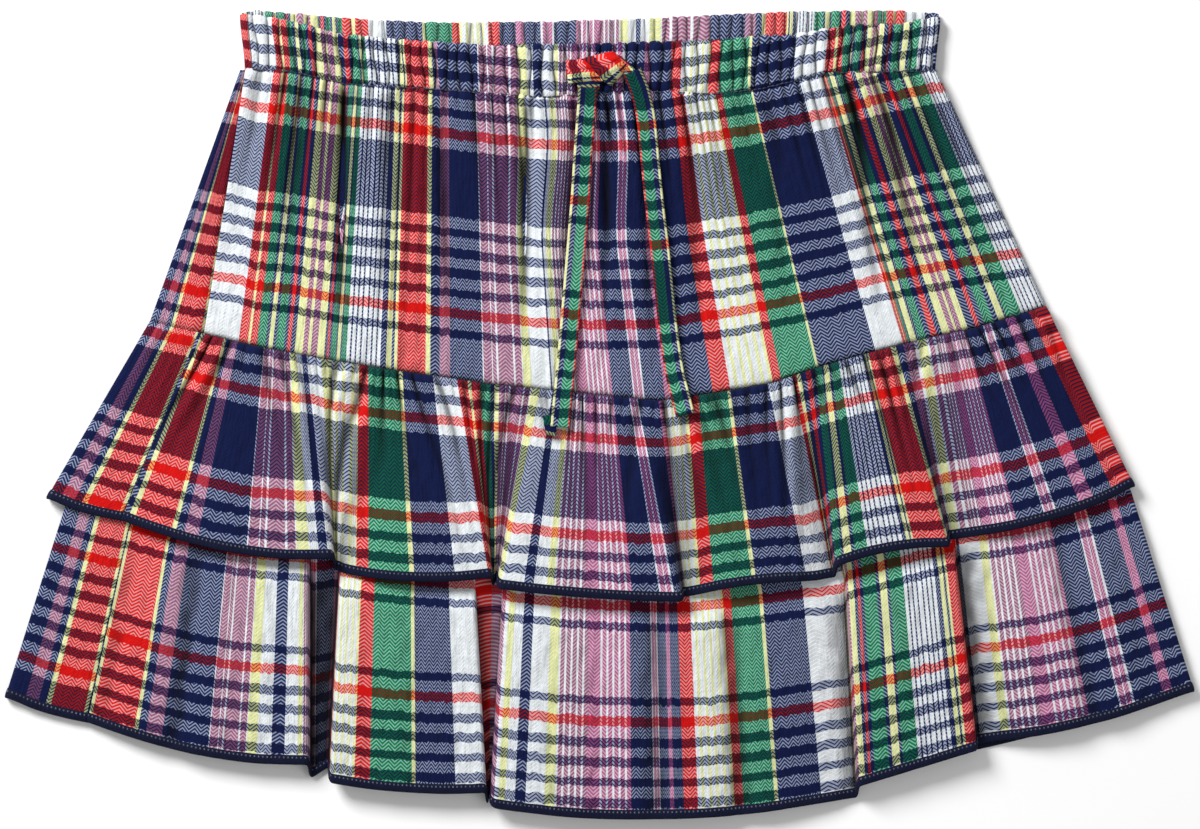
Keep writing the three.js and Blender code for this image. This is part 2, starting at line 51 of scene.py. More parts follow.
YOKE_LEVEL = 3.3
CASING_LEVEL = 4.5
LONG_FLOOR = 2.15  # the long ruffle's front where it touches what lies under it
SHORT_LENGTH = 100
LONG_LENGTH = 206
YOKE_LENGTH = 125
COMES_OUT = 0.48  # share of the long ruffle at which the short one's hem leaves it
DROP = 0.9  # steps across a flute's steep side
ROUND = 3.2  # steps across a turned edge
YOKE_WAVES = 40
RUFFLE_WAVES = 42
CASING_RIDGES = 58
BACK_RIDGES = 64
TAIL_WIDTH = 9.4
TAIL_THICK = 1.3
SEAM_LEFT = 199
SEAM_RIGHT = 1040
THREAD_THICK = 0.8
STITCH = 2.4
HERRINGBONE_COLUMN = 3.0
HERRINGBONE_PITCH = 1.9
UNDER_YARN_AND_SHADE = 0.32  # share of the multiplied yarn colour: partly the yarn below darkening the one above, partly painted shade between the threads
VIEW_WIDE = 1200  # steps across the view
CAMERA_HEIGHT = 2.6  # metres
ROOM_LIGHT = 0.36
LIGHTS = [("key", (-1.3, 1.45, 1.35), 1.1, 78), ("fill", (1.6, -0.6, 1.9), 1.6, 10)]  # metres and watts
MOST_STOPS = 30  # a colour ramp holds at most 32

# Yarn colours, as display values
NAVY = (22, 36, 84)
WHITE = (236, 240, 243)
RED = (218, 28, 26)
GREEN = (0, 118, 72)
YELLOW = (234, 236, 146)
PLUM = (156, 90, 122)
ROSE = (186, 92, 138)

NAVY_THREAD = (0.012, 0.016, 0.05, 1)  # thread colours are linear
THREAD_SHADOW = (0.03, 0.035, 0.07, 1)
# Overlock navy: the darker value is painted shade in the grooves between the thread's turns
OVERLOCK_DARK = (0.0025, 0.004, 0.018, 1)
OVERLOCK_LIGHT = (0.012, 0.017, 0.06, 1)
# Colour of the painted highlights on the overlock
OVERLOCK_GLINT = (0.5, 0.54, 0.62, 1)

DEPTH_OF_COLOUR = 0.98

# The cloth's warp: stripes with their widths
def pairs(count, *bands):
    return [band for _ in range(count) for band in bands]


WARP = [
    (17, WHITE), (6.5, RED), (1.5, YELLOW), (5, RED), (6, GREEN), (2, NAVY), (3, YELLOW), (2, NAVY),
    (5.5, GREEN), (2.5, NAVY), (2.5, RED), (3, NAVY), (4.5, YELLOW), (3, PLUM), (2, YELLOW), (3.5, PLUM),
    (4.5, YELLOW), (3, NAVY), (2.5, RED), (2.5, NAVY), (6, GREEN), (2, NAVY), (3.5, YELLOW), (2, NAVY),
    (7, GREEN), *pairs(7, (1.85, WHITE), (0.85, NAVY)), (2.5, NAVY), (3.5, YELLOW), (1.5, NAVY),
    (2, YELLOW), (17, RED), (3, YELLOW), (3.5, NAVY), (6.5, PLUM), (23, NAVY), (0.8, WHITE), (3.5, PLUM),
    (0.8, WHITE), (1.7, PLUM), (0.8, WHITE), (7, PLUM), (0.8, WHITE), (2.8, PLUM), (0.8, WHITE),
    (4.4, YELLOW), (9, WHITE), (4.4, NAVY), (8, WHITE), (5, YELLOW), *pairs(5, (0.9, WHITE), (2.1, PLUM)),
    (6, ROSE), *pairs(5, (0.9, WHITE), (2.1, ROSE)), (14, NAVY), (1.2, WHITE), (2.8, ROSE), (0.7, WHITE),
    (2.8, ROSE), (1.2, WHITE), (14, NAVY), (6, ROSE), (14, NAVY), (7.5, RED),
    *pairs(5, (2.6, WHITE), (1.6, YELLOW)), (5.3, RED), (20, GREEN), (2, YELLOW), (27, NAVY),
]
# The cloth's weft: a wide navy band, then narrow stripes, with a wide white band half way
WEFT = [
    (33, NAVY), (5.3, WHITE), *pairs(4, (4.5, NAVY), (5.3, WHITE)), (5, RED), (5.3, WHITE), (4.5, NAVY),
    (32, WHITE), (4.5, NAVY), (5.3, WHITE), (5, RED), (5.3, WHITE), *pairs(5, (4.5, NAVY), (5.3, WHITE)),
    (5, RED), (5.3, WHITE), (33, NAVY), (5.3, WHITE), (5, RED), (5.3, WHITE),
    *pairs(5, (4.5, NAVY), (5.3, WHITE)), (5, RED), (5.3, WHITE),
]
TIE_WARP = [(1.2, YELLOW), (2.4, NAVY), (4.9, GREEN), (0.9, RED)]
RIGHT_TIE_WEFT = [
    (19.8, NAVY), (5.3, WHITE), (4.5, RED), (5, WHITE), *pairs(5, (4.9, NAVY), (5, WHITE)), (5, RED),
    (5.3, WHITE), (31.5, NAVY), *pairs(5, (5.2, WHITE), (4.6, NAVY)),
]
KNOT_WARP = [(1.1, YELLOW), (1.0, NAVY), (2.1, YELLOW), (9, RED)]
KNOT_WEFT = [(5.2, NAVY), (4.4, WHITE), (4.8, RED), (2.2, WHITE)]


# Lines across the skirt, in table steps: across, down
def rows(*pairs_of_steps):
    return np.array(pairs_of_steps, float)


FRONT_TOP = rows([240, 13], [287, 20], [342, 34], [404, 40], [479, 45], [600, 44], [715, 40], [795, 34],
                 [848, 26], [898, 24], [940, 17])
STITCHING = rows([240, 70], [287, 72], [342, 85], [434, 90], [541, 98], [646, 92], [715, 95], [761, 90],
                 [830, 74], [900, 72], [940, 72])
BACK_TOP = rows([240, 12], [257, 10], [342, 17], [422, 22], [553, 21], [669, 17], [795, 11], [898, 10],
                [940, 13])
BACK_STITCHING = rows([240, 70], [940, 72])
RUFFLE_SEAM = rows([150, 321], [201, 333], [255, 346], [329, 360], [400, 371], [490, 384], [579, 393],
                   [660, 401], [727, 391], [773, 383], [819, 367], [869, 353], [928, 338], [975, 328],
                   [1048, 306])

# Flutes: seam, hem and down of each edge, whether it stands up steeply, face height and hem sag
SHORT_FLUTES = [
    {"left": (199, 122, 122, 519, False), "right": (309, 334, 334, 557, True), "crown": 11.8, "sag": 13},
    {"left": (352, 346, 346, 573, False), "right": (459, 492, 492, 576, True), "crown": 11.6, "sag": 6},
    {"left": (539, 498, 498, 587, True), "right": (641, 682, 682, 600, True), "crown": 12.4, "sag": 3},
    {"left": (684, 695, 695, 594, False), "right": (772, 812, 812, 580, False), "crown": 11, "sag": -4},
    {"left": (818, 836, 836, 565, True), "right": (890, 948, 948, 546, True), "crown": 12.4, "sag": -6},
    {"left": (934, 968, 968, 536, False), "right": (1022, 1108, 1108, 499, False), "crown": 10.4, "sag": 5},
]
LONG_FLUTES = [
    {"left": (199, 131, 87, 721, False), "right": (308, 309, 309, 763, True), "crown": 8.4, "sag": 12},
    {"left": (361, 341, 330, 781, True), "right": (459, 474, 486, 791, True), "crown": 9.2, "sag": 5},
    {"left": (539, 504, 491, 806, True), "right": (752, 806, 828, 801, False), "crown": 9, "sag": 15},
    {"left": (813, 846, 858, 785, True), "right": (890, 952, 976, 749, True), "crown": 9.6, "sag": 0},
    {"left": (934, 968, 988, 741, False), "right": (1020, 1104, 1160, 702, False), "crown": 7.6, "sag": 6},
]
# Soft dips down the faces: place at the top and bottom in steps, width and depth
LONG_DIPS = [(654, 656, 15, 1.7), (724, 741, 15, 1.9), (200, 170, 14, 1.6), (1050, 1090, 16, 1.6),
             (120, 96, 12, 1.2)]
YOKE_FOLDS = [(300, 280, 10, 1.2), (345, 338, 6, 3.0), (394, 380, 7, 1.4), (437, 452, 6, 1.3),
              (527, 521, 7, 2.6), (575, 562, 7, 1.8), (608, 603, 6, 2.0), (642, 655, 7, 2.0),
              (690, 700, 8, 1.4), (770, 790, 10, 1.0), (850, 884, 7, 2.2), (880, 930, 7, 1.8)]

# Which warp thread lies where: steps across, then millimetres into the warp, for each flute's face
SHORT_WARP = [
    rows([122, 127.5], [133, 130.9], [170, 147.9], [175, 150.9], [246, 183.9], [298, 202.9], [310, 207.3],
         [320, 216.3], [332, 222]),
    rows([346, 346], [354, 354.9], [369, 360.2], [410, 380.2], [415, 382.2], [456, 409.2], [489, 426.2],
         [492, 428]),
    rows([498, 207], [523, 216.3], [533, 220.7], [546, 228.7], [553, 233.7], [632, 269.7], [660, 283.7],
         [675, 292.4], [682, 297]),
    rows([684, 342], [698, 354.9], [714, 360.2], [752, 380.2], [756, 382.2], [808, 409.2], [816, 416]),
    rows([836, 84], [844, 90], [851, 93.5], [855, 95.5], [867, 102.5], [905, 121.4], [914, 130.9],
         [948, 147.9]),
    rows([968, 238], [1017, 269.7], [1045, 283.7], [1057, 292.4], [1081, 306.4], [1096, 312.4], [1121, 326.4],
         [1134, 333]),
]
LONG_WARP = [
    rows([87, 129], [90, 130.9], [133, 147.9], [137, 150.9], [144, 154.4], [160, 160.9], [207, 183.9],
         [246, 202.9], [256, 207.3], [271, 216.3], [285, 220.7], [298, 228.7], [302, 233.7], [309, 239]),
    rows([329, 336], [354, 354.9], [370, 360.2], [412, 380.2], [416, 382.2], [456, 409.2], [486, 425]),
    rows([489, 199], [498, 202.9], [504, 207.3], [514, 216.3], [525, 220.7], [544, 228.7], [554, 233.7],
         [631, 269.7], [654, 283.7], [661, 292.4], [684, 326.4], [698, 333.9], [735, 354.9], [744, 360.2],
         [775, 380.2], [779, 382.2], [829, 409.2], [856, 426.2]),
    rows([858, 69.5], [865, 74], [871, 79.5], [874, 82], [889, 88], [893, 90], [900, 93.5], [903, 95.5],
         [918, 102.5], [954, 121.4], [966, 130.9], [977, 138]),
    rows([979, 219], [1000, 228.7], [1010, 233.7], [1090, 269.7], [1121, 283.7], [1136, 292.4], [1167, 306.4],
         [1177, 312.4], [1194, 321]),
]
YOKE_WARP = rows(
    [220, 0.8], [250.5, 17], [268, 30], [304, 56.5], [332, 74], [348, 95.5], [352, 102.5], [386, 121.4],
    [400, 130.9], [426, 147.9], [431, 150.9], [439, 154.4], [449, 160.9], [479, 183.9], [517, 202.9],
    [526, 209], [542, 216.3], [546, 229], [566, 248], [598, 269.7], [617, 283.7], [627, 292.4],
    [646, 306.4], [665, 313], [690, 326.4], [706, 333.9], [746, 354.9], [754, 360.2], [788, 380.2],
    [790, 382.2], [847, 409.2], [875, 426.2], [882, 447.2], [888, 450.2], [897, 457.7], [903, 460.2],
    [909, 462.7], [914, 465.7], [921, 470.2], [926, 473.2], [939, 483.2], [947, 486.2], [951, 488.7],
    [956, 491.2], [965, 497.2], [971, 499.2], [977, 502.7], [979, 504.7], [994, 511.7], [1020, 527])
CASING_WARP = rows(
    [240, 134], [247.5, 147], [248, 0.5], [272, 17], [286, 30], [314, 56.5], [338, 74], [343, 77],
    [347, 79.5], [350, 82], [357, 88], [358.5, 90], [360, 93.5], [361, 95.5], [365, 102.5], [396, 121.4],
    [398, 123.9], [402, 127.4], [404, 130.9], [427, 147.9], [431, 150.9], [434, 154.4], [437, 160.9],
    [476, 183.9], [518, 202.9], [526, 207.3], [533, 216.3], [541, 220.7], [555, 228.7], [558, 233.7],
    [595, 269.7], [611, 283.7], [624, 292.4], [644.5, 306.4], [650, 312.4], [671, 326.4], [681, 333.9],
    [710, 354.9], [720, 360.2], [750, 380.2], [752, 382.2], [797, 409.2], [827, 426.2], [845, 439.2],
    [868, 465.7], [884, 483.2], [920, 511.7], [938, 525])
BACK_CASING_WARP = rows(
    [240, 540], [249, 530], [290, 483.2], [318, 465.7], [342, 439.2], [368, 426.2], [386, 409.2],
    [422, 382.2], [424, 380.2], [452, 360.2], [460, 354.9], [488, 333.9], [499, 326.4], [541, 292.4],
    [554, 283.7], [576, 269.7], [620, 233.7], [628, 228.7], [650, 207.3], [661, 202.9], [712, 183.9],
    [762, 150.9], [767, 147.9], [788, 130.9], [795, 121.4], [815, 102.5], [850, 74], [875, 56.5], [887, 30],
    [905, 17], [925, 0], [940, -10])
# Near the casing the middle threads lie this far to the right of their straight run
YOKE_SHIFT = rows([477, 0], [512, 8], [540, 16], [585, 14], [612, 15], [629, 18], [647, 9], [670, 6.5],
                  [684, 4], [720, 0])
# The step down at which the first wide navy weft begins on the upper tier
FIRST_WEFT = rows([204, 112], [240, 118], [256, 124], [290, 127], [340, 137], [416, 146], [460, 152],
                  [540, 161], [600, 163], [662, 162], [700, 155], [740, 149], [782, 140], [835, 129],
                  [875, 117], [925, 107], [1036, 88])
SHORT_WEFT_AT_SEAM = 175
LONG_WEFT_AT_SEAM = 184 - LONG_LENGTH
SHORT_BACK_WEFT_AT_SEAM = -13
LONG_BACK_WEFT_AT_SEAM = 220 - LONG_LENGTH
YOKE_BACK_WEFT_AT_TOP = -26
BACK_CASING_WEFT_AT_TOP = 100
BACK_WARP_AT_SEAM = 127.5
GAP_SHADE_THREADS = {(129, 239): (271, 326)}  # threads for the first gap of the long ruffle, taken from a mostly navy run of the warp as painted shade

# Ties: across, down, high
LEFT_TAIL = rows([588, 88, 9.0], [586, 115, 8.0], [583, 155, 7.1], [580, 200, 6.6], [575, 260, 6.4],
                 [570, 320, 6.6], [566, 365, 7.7], [563, 395, 9.6], [560, 427, 11.0])
RIGHT_TAIL = rows([632, 72, 9.6], [640, 92, 8.8], [646, 120, 7.8], [650, 160, 7.0], [654, 200, 6.6],
                  [661, 260, 6.4], [667, 320, 6.7], [674, 370, 7.9], [680, 395, 9.6], [685, 415, 10.6])

# The knot's patches: four corners clockwise from the upper left, dome and thickness,
# where the threads begin and how far they run, sideways bend, flat size in metres, and what it rests on
KNOT_PATCHES = {
    "knot_wrap": ([(581.5, 60, 9.6), (613, 52.5, 9.6), (627.5, 67.5, 10.0), (610.5, 86.5, 9.4)], 2.9, 1.3,
                  (0, 0, 11.5, 14), 0, (0.017, 0.015), "waistband_front"),
    "knot_loop": ([(566.5, 60.5, 8.6), (590, 58, 9.4), (603, 81.5, 9.0), (568.5, 84, 8.4)], 1.7, 1.3,
                  (0, 14.6, 11, 17), 1.5, (0.018, 0.0125), "waistband_front"),
    "knot_end": ([(604, 54, 8.8), (619, 56, 9.0), (639, 75, 8.6), (623, 76, 8.8)], 1.3, 1.2,
                 (0, 2, 10, 17), 0, (0.0125, 0.012), "waistband_front"),
    "knot_under": ([(578, 73, 8.0), (601, 72, 8.2), (598.5, 93, 8.0), (577.5, 93, 7.8)], 0.8, 1.1,
                   (-3, 18, 11, 8), 0, (0.0115, 0.01), "waistband_front"),
    "tie_end_turned": ([(543, 416, 9.3), (556, 414, 9.6), (556, 436.5, 10.2), (546.5, 434, 9.7)], 0.7, 0.9,
                       (0, 0, 7, 6.4), 0, (0.01, 0.0105), "short_ruffle_front"),
}

# Each sheet's slot, flat size, thickness, and how strongly painted shade darkens its hollows
SHEETS = {
    "short_ruffle_front": ("short_ruffle_cloth", (600, 100), SHELL, 1.3),
    "long_ruffle_front": ("long_ruffle_cloth", (590, 206), SHELL, 1.7),
    "short_ruffle_back": ("short_ruffle_cloth", (580, 100), SHELL, 1.0),
    "upper_tier_back": ("upper_cloth", (470, 130), SHELL, 1.0),
    "long_ruffle_back": ("long_ruffle_cloth", (600, 206), SHELL, 1.0),
    "upper_tier_front": ("upper_cloth", (480, 130), SHELL, 1.4),
    "waistband_front": ("waistband_cloth", (420, 30), CASING_SHELL, 1.7),
    "waistband_back": ("waistband_cloth", (420, 30), CASING_SHELL, 1.7),
}


# Small helpers
def mix(a, b, t):
    return a + (b - a) * t


def ease(a, b, v):
    t = np.clip((v - a) / (b - a), 0, 1)
    return t * t * (3 - 2 * t)


def across_mm(step):
    return (step - MIDDLE_ACROSS) * STEP


def down_mm(step):
    return (MIDDLE_DOWN - step) * STEP


def chance(n):
    v = np.sin(n * 127.1 + 11.7) * 43758.5453
    return v - np.floor(v)


def line_at(line, across):
    return np.interp(across, line[:, 0], line[:, 1])


def travelled(points):
    return np.concatenate([[0], np.cumsum(np.linalg.norm(np.diff(points, axis=0), axis=1))])


# Sideways and upwards all along a path
def directions(path):
    tangent = np.gradient(path, axis=0)
    tangent /= np.linalg.norm(tangent, axis=1, keepdims=True)
    side = np.cross(np.array([0.0, 0.0, 1.0]), tangent)
    side /= np.linalg.norm(side, axis=1, keepdims=True)
    return side, np.cross(tangent, side)


# One soft gather after another, sharp at the stitches and rounder away from them
def gather(turns, distance, shortest, longest, seed):
    n = np.floor(turns)
    reach = mix(shortest, longest, chance(n + seed) ** 2)
    fade = np.exp(-((distance / reach) ** 2))
    roundness = mix(0.75, 2.2, np.clip(distance / longest, 0, 1))
    height = 0.45 + 0.55 * chance(n * 3 + seed + 5)
    return np.abs(np.sin(math.pi * (turns - n))) ** roundness * height * fade


# Rounded ridges with narrow valleys between them
def ridges(turns, seed):
    n = np.floor(turns)
    return np.abs(np.sin(math.pi * (turns - n))) ** 0.7 * (0.45 + 0.55 * chance(n + seed))


def dips(table, across, down):
    depth = 0
    for top, bottom, wide, deep in table:
        away = (across - mix(top, bottom, down)) * STEP
        depth = depth + deep * np.exp(-((away / (wide / 2)) ** 2))
    return depth


# The light crinkle of the cloth
def crinkle(x, y):
    a = np.sin(x * 0.71 + 1.9 * np.sin(y * 0.13 + 0.4))
    b = np.sin(x * 0.43 - y * 0.29 + 1.3 * np.sin(x * 0.09))
    c = np.sin(y * 0.52 + 1.7 * np.sin(x * 0.17))
    return 0.07 * a + 0.07 * b + 0.06 * c


# Columns of a row of corners, drawn as a smooth curve inside them
KEYS = ("seam", "mid", "hem", "down", "high", "place")


def corner(seam, mid, hem, down, high, place=None):
    return dict(zip(KEYS, (seam, mid, hem, down, high, place)))


def filled(corners):
    for key in KEYS:
        known = [k for k, c in enumerate(corners) if c[key] is not None]
        values = [corners[k][key] for k in known]
        for k, c in enumerate(corners):
            if c[key] is None:
                c[key] = float(np.interp(k, known, values)) if known else 0.0
    return corners


def smoothed(corners):
    table = np.array([[c[key] for key in KEYS] for c in filled(corners)], float)
    last = len(table) - 1
    t = np.arange(1, 41)[:, None] / 40
    points = [table[:1]]
    for k in range(1, last):
        start = table[0] if k == 1 else (table[k - 1] + table[k]) / 2
        end = table[last] if k == last - 1 else (table[k] + table[k + 1]) / 2
        points.append(mix(mix(start, table[k], t), mix(table[k], end, t), t))
    return dict(zip(KEYS, np.concatenate(points).T))


# The same columns at even spacing along the cloth
def evenly(columns, spacing):
    reach = np.maximum(np.abs(np.diff(columns["seam"])), np.abs(np.diff(columns["hem"]))) * STEP
    travel = np.concatenate([[0], np.cumsum(reach + 0.6 * np.abs(np.diff(columns["high"])))])
    wanted = np.linspace(0, travel[-1], int(travel[-1] / spacing) + 1)
    return {key: np.interp(wanted, travel, values) for key, values in columns.items()}


def flute_corners(flutes, floor):
    corners = []
    for n, f in enumerate(flutes):
        left, right = f["left"], f["right"]
        gap_before = left[2] - flutes[n - 1]["right"][2] if n else 12
        gap_after = flutes[n + 1]["left"][2] - right[2] if n + 1 < len(flutes) else 12
        start = corner(*left[:4], f["crown"] - 0.2, 2 * n)
        end = corner(*right[:4], f["crown"] - 0.2, 2 * n + 1)

        def face(t, high):
            point = {key: mix(start[key], end[key], t) for key in KEYS}
            return {**point, "down": point["down"] + f["sag"] * min(1, 4.5 * t * (1 - t)), "high": high}

        def foot(edge, by):
            near = flutes[n + 1]["left"] if by > 0 else flutes[n - 1]["right"]
            return corner(None, edge[1] + by, edge[2] + by, mix(edge[3], near[3], 0.75), floor)

        if left[4]:
            corners += [foot(left, -min(4, gap_before / 3)), foot(left, -DROP), start, face(0.04, f["crown"])]
        else:
            corners.append({**start, "high": mix(floor, f["crown"], 0.35) if n == 0 else floor})
        corners += [face(0.3, f["crown"]), face(0.7, f["crown"])]
        if right[4]:
            corners += [face(0.96, f["crown"]), end, foot(right, DROP), foot(right, min(4, gap_after / 3))]
        else:
            corners.append({**end, "high": mix(floor, f["crown"], 0.45)})
    return corners


def hook_out(seam, mid, hem, down, front, back):
    inner = (seam - ROUND, mid - ROUND, hem - ROUND)
    return [corner(*inner, down, front), corner(seam, mid, hem, down, front),
            corner(seam, mid, hem, down - 1, back), corner(*inner, down - 1, back)]


# Warp threads of a fluted front: faces follow their own rows, and hidden gaps run on from each side
def flute_warp(columns, flutes, rows_of_flutes, shared_gaps):
    places, threads = [], []
    for n, (f, table) in enumerate(zip(flutes, rows_of_flutes)):
        left, right = f["left"][2], f["right"][2]
        hidden = GAP_SHADE_THREADS.get((float(table[0][1]), float(table[-1][1])))
        after = flutes[n + 1]["left"][2] if n + 1 < len(flutes) else right + 60
        before = flutes[n - 1]["right"][2] if n else left - 60
        for across, thread in table:
            if across > right:
                place = 2 * n + 1 + 0.5 * (across - right) / (after - right)
            elif across < left:
                place = 2 * n - 0.5 * (left - across) / (left - before)
            else:
                place = 2 * n + (across - left) / (right - left)
            places.append(place)
            threads.append(thread)
        if n + 1 < len(flutes):
            following = rows_of_flutes[n + 1][0][1]
            # Some gaps are given a listed run of mostly navy threads, as painted shade inside the gap
            if hidden:
                places += [2 * n + 1.1, 2 * n + 1.9]
                threads += list(hidden)
            else:
                seam_gap = (flutes[n + 1]["left"][0] - f["right"][0]) * STEP
                run = 0.55 * (seam_gap if shared_gaps else (after - right) * STEP + 3)
                places += [max(2 * n + 1.499, places[-1] + 0.01), max(2 * n + 1.501, places[-1] + 0.012)]
                threads += [threads[-1] + run * (2 * n + 1.3 > places[-3]), following - run]
    made = np.interp(columns["place"], places, threads)
    # Where the threads jump, one column closes up against the next
    for k in np.flatnonzero(np.abs(np.diff(made)) > 9):
        for key in KEYS:
            columns[key][k] = mix(columns[key][k], columns[key][k + 1], 0.92)
        made[k] = made[k - 1]
    return made


# Ruffle fronts
def ruffle_down(c, share):
    return down_mm(mix(line_at(RUFFLE_SEAM, c["seam"]), c["down"], share))


# How far a column has risen from the back's level to a front's
def risen(c, level):
    return np.clip((c["high"] - BACK_LEVEL) / (level - BACK_LEVEL), 0, 1)


# A point of the short ruffle before its gathers, and how far its column has risen
def on_short(c, share):
    edge = risen(c, SHORT_LEVEL)
    level = mix(mix(BACK_LEVEL, SHORT_LEVEL, edge), c["high"], ease(0.02, 0.75, share))
    return across_mm(mix(c["seam"], c["hem"], share)), ruffle_down(c, share), level, edge


# The long ruffle's level: flat under the short one, then grown to its columns' own heights
def long_level(c, edge, share, grown):
    back = mix(INNER_BACK_LEVEL, BACK_LEVEL, ease(0.5, 0.58, share))
    return mix(mix(back, LONG_LEVEL, edge), mix(back, np.maximum(c["high"], LONG_FLOOR), edge), grown)


def short_front():
    corners = flute_corners(SHORT_FLUTES, SHORT_LEVEL - 0.2)
    corners += hook_out(1046, 1134, 1134, 486, 6.2, BACK_LEVEL)
    corners.append(corner(1016, 1100, 1100, 500, BACK_LEVEL))
    last = 2 * len(SHORT_FLUTES) - 1
    for c, extra in zip(corners[-5:], (0.35, 0.43, 0.45, 0.47, 0.9)):
        c["place"] = last + extra
    return evenly(smoothed(corners), 0.86)


def place_short(c, share):
    x, y, level, edge = on_short(c, share)
    turns = np.clip((c["seam"] - SEAM_LEFT) / (SEAM_RIGHT - SEAM_LEFT), 0, 1) * RUFFLE_WAVES
    front = ease(0.55, 0.95, edge)
    distance = share * SHORT_LENGTH
    uneven = turns + 0.35 * np.sin(turns * 1.3) + 0.02 * distance * np.sin(turns * 0.9 + 1)
    coarse = 3.0 * gather(uneven, distance, 18, 85, 0) * ease(-0.06, 0.05, share)
    fine = 1.9 * gather(uneven * 2.1, distance, 8, 38, 7) * ease(-0.04, 0.03, share)
    groove = -0.9 * np.exp(-((distance / 1.6) ** 2))
    swell = 0.35 * gather(turns * 0.55 + 0.3, 60 * (1 - share), 40, 90, 3)
    return x, y, level + front * (coarse + fine + groove + swell + crinkle(x, y) * ease(0, 0.1, share))


def long_front():
    corners = flute_corners(LONG_FLUTES, LONG_FLOOR)
    corners += hook_out(1042, 1131, 1194, 691, 4.6, BACK_LEVEL)
    corners.append(corner(1014, 1098, 1160, 702, BACK_LEVEL))
    last = 2 * len(LONG_FLUTES) - 1
    for c, extra in zip(corners[-5:], (0.3, 0.33, 0.35, 0.37, 0.8)):
        c["place"] = last + extra
    return evenly(smoothed(corners), 1.2)


def along_warp(seam, mid, hem, share):
    above = mix(seam, mid, share / COMES_OUT)
    below = mix(mid, hem, (share - COMES_OUT) / (1 - COMES_OUT))
    return np.where(share < COMES_OUT, above, below)


def place_long(c, share):
    grown = ease(0.484, 0.565, share)
    even = np.clip((c["seam"] - 199) / (1042 - 199), 0, 1)
    evened = along_warp(c["seam"], mix(131, 1131, even), mix(87, 1194, even), share)
    back_side = c["high"] < LONG_FLOOR - 0.1
    own = along_warp(c["seam"], c["mid"], c["hem"], share)
    x = across_mm(mix(evened, own, np.where(back_side, 1, ease(0.2, 0.45, share))))
    y = ruffle_down(c, share)
    edge = risen(c, LONG_FLOOR)
    folds = long_level(c, edge, share, grown)
    across = mix(c["mid"], c["hem"], share)
    face = np.where(back_side, 0, grown * np.clip((c["high"] - 4.5) / 2, 0, 1))
    soft = 0.4 * gather((across - 87) / 46, 90 * (1 - share), 60, 160, 9)
    return x, y, folds + face * (soft - dips(LONG_DIPS, across, share)) + grown * edge * 1.2 * crinkle(x, y)


# Backs: from the right seam under the skirt, round its left edge to the seam on the front
def back_columns(right, third, middle, first, left, front, spacing):
    b = BACK_LEVEL

    def inside(c, by):
        return {**c, "seam": c["seam"] + by, "mid": c["mid"] + by, "hem": c["hem"] + by}

    half = {key: mix(left[key], front[key], 0.5) for key in ("seam", "mid", "hem", "down")}
    corners = [
        {**right, "high": b},
        corner(860, mix(600, right["mid"], 0.58), mix(600, right["hem"], 0.58), third, b),
        corner(600, 600, 600, middle, b),
        corner(350, mix(600, left["mid"], 0.5), mix(600, left["hem"], 0.5), first, b),
        {**inside(left, ROUND), "high": b},
        {**left, "high": b},
        {**left, "down": left["down"] + 1},
        {**inside(left, ROUND), "down": left["down"] + 1},
        {**left, **half, "down": half["down"] + 5, "high": mix(left["high"], front["high"], 0.6)},
        front,
    ]
    columns = smoothed(corners)
    reach = np.abs(np.diff(columns["hem"])) * STEP * 1.05
    columns["place"] = BACK_WARP_AT_SEAM + np.concatenate([np.cumsum(reach[::-1])[::-1], [0]])
    return evenly(columns, spacing)


def short_back():
    return back_columns(
        corner(1015, 1057, 1099, 500, 0), 540, 574, 545, corner(150, 99, 47, 497, 6.0),
        corner(200.5, 162, 123.5, 520, mix(SHORT_LEVEL - 0.2, 11.8, 0.35) - 1.1), 2.0)


def long_back():
    return back_columns(
        corner(1013, 1097, 1159, 702, 0), 770, 800, 766, corner(157, 66, 5, 696, 4.2),
        corner(200.5, 132.5, 88.5, 722, mix(LONG_FLOOR, 8.4, 0.35) - 1.1), 2.2)


def place_short_back(c, share):
    x, y, level, edge = on_short(c, share)
    distance = share * SHORT_LENGTH
    turns = (c["seam"] - 150) / 9
    under = (1 - ease(0, 0.4, edge)) * (0.5 * gather(turns, distance, 14, 60, 21) - 0.2)
    over = ease(0.6, 1, edge) * (gather((c["seam"] - 150) / 8.1, distance, 12, 50, 25) + crinkle(x, y))
    groove = -0.8 * ease(0.6, 1, edge) * np.exp(-((distance / 1.6) ** 2))
    return x, y, level + under + over + groove


def place_long_back(c, share):
    x = across_mm(along_warp(c["seam"], c["mid"], c["hem"], share))
    y = ruffle_down(c, share)
    edge = risen(c, LONG_FLOOR)
    grown = ease(0.45, 0.61, share)
    level = long_level(c, edge, share, grown)
    ripple = (1 - edge) * (0.35 * gather((c["seam"] - 150) / 24, 80 * (1 - share), 50, 150, 31) - 0.15)
    return x, y, level + ripple * grown + ease(0.8, 1, edge) * grown * 1.3 * crinkle(x, y)


# Upper tier
def yoke_columns():
    share = np.linspace(0, 1, 641)
    turned = rows([0.7, 0.96], [1, 0.75], [1.15, 0.5], [1, 0.25], [0.4, 0.02], [-1, 0], [-4, 0])
    fine = np.linspace(0, len(turned) - 1, 25)
    out = np.interp(fine, range(len(turned)), turned[:, 0])
    return {
        "top": np.concatenate([mix(246, 931, share), 932 + out * 4]),
        "bottom": np.concatenate([mix(204, 1036, share), 1039 + out * 6]),
        "high": np.concatenate([np.ones(641), np.interp(fine, range(len(turned)), turned[:, 1])]),
        "turns": np.concatenate([share * YOKE_WAVES, np.full(25, YOKE_WAVES)]),
        "hook": np.concatenate([np.zeros(641), np.linspace(0, 14, 25)]),
    }


def yoke_level(share):
    return mix(mix(CASING_LEVEL, YOKE_LEVEL, ease(0, 0.3, share)), SHORT_LEVEL, ease(0.6, 1, share))


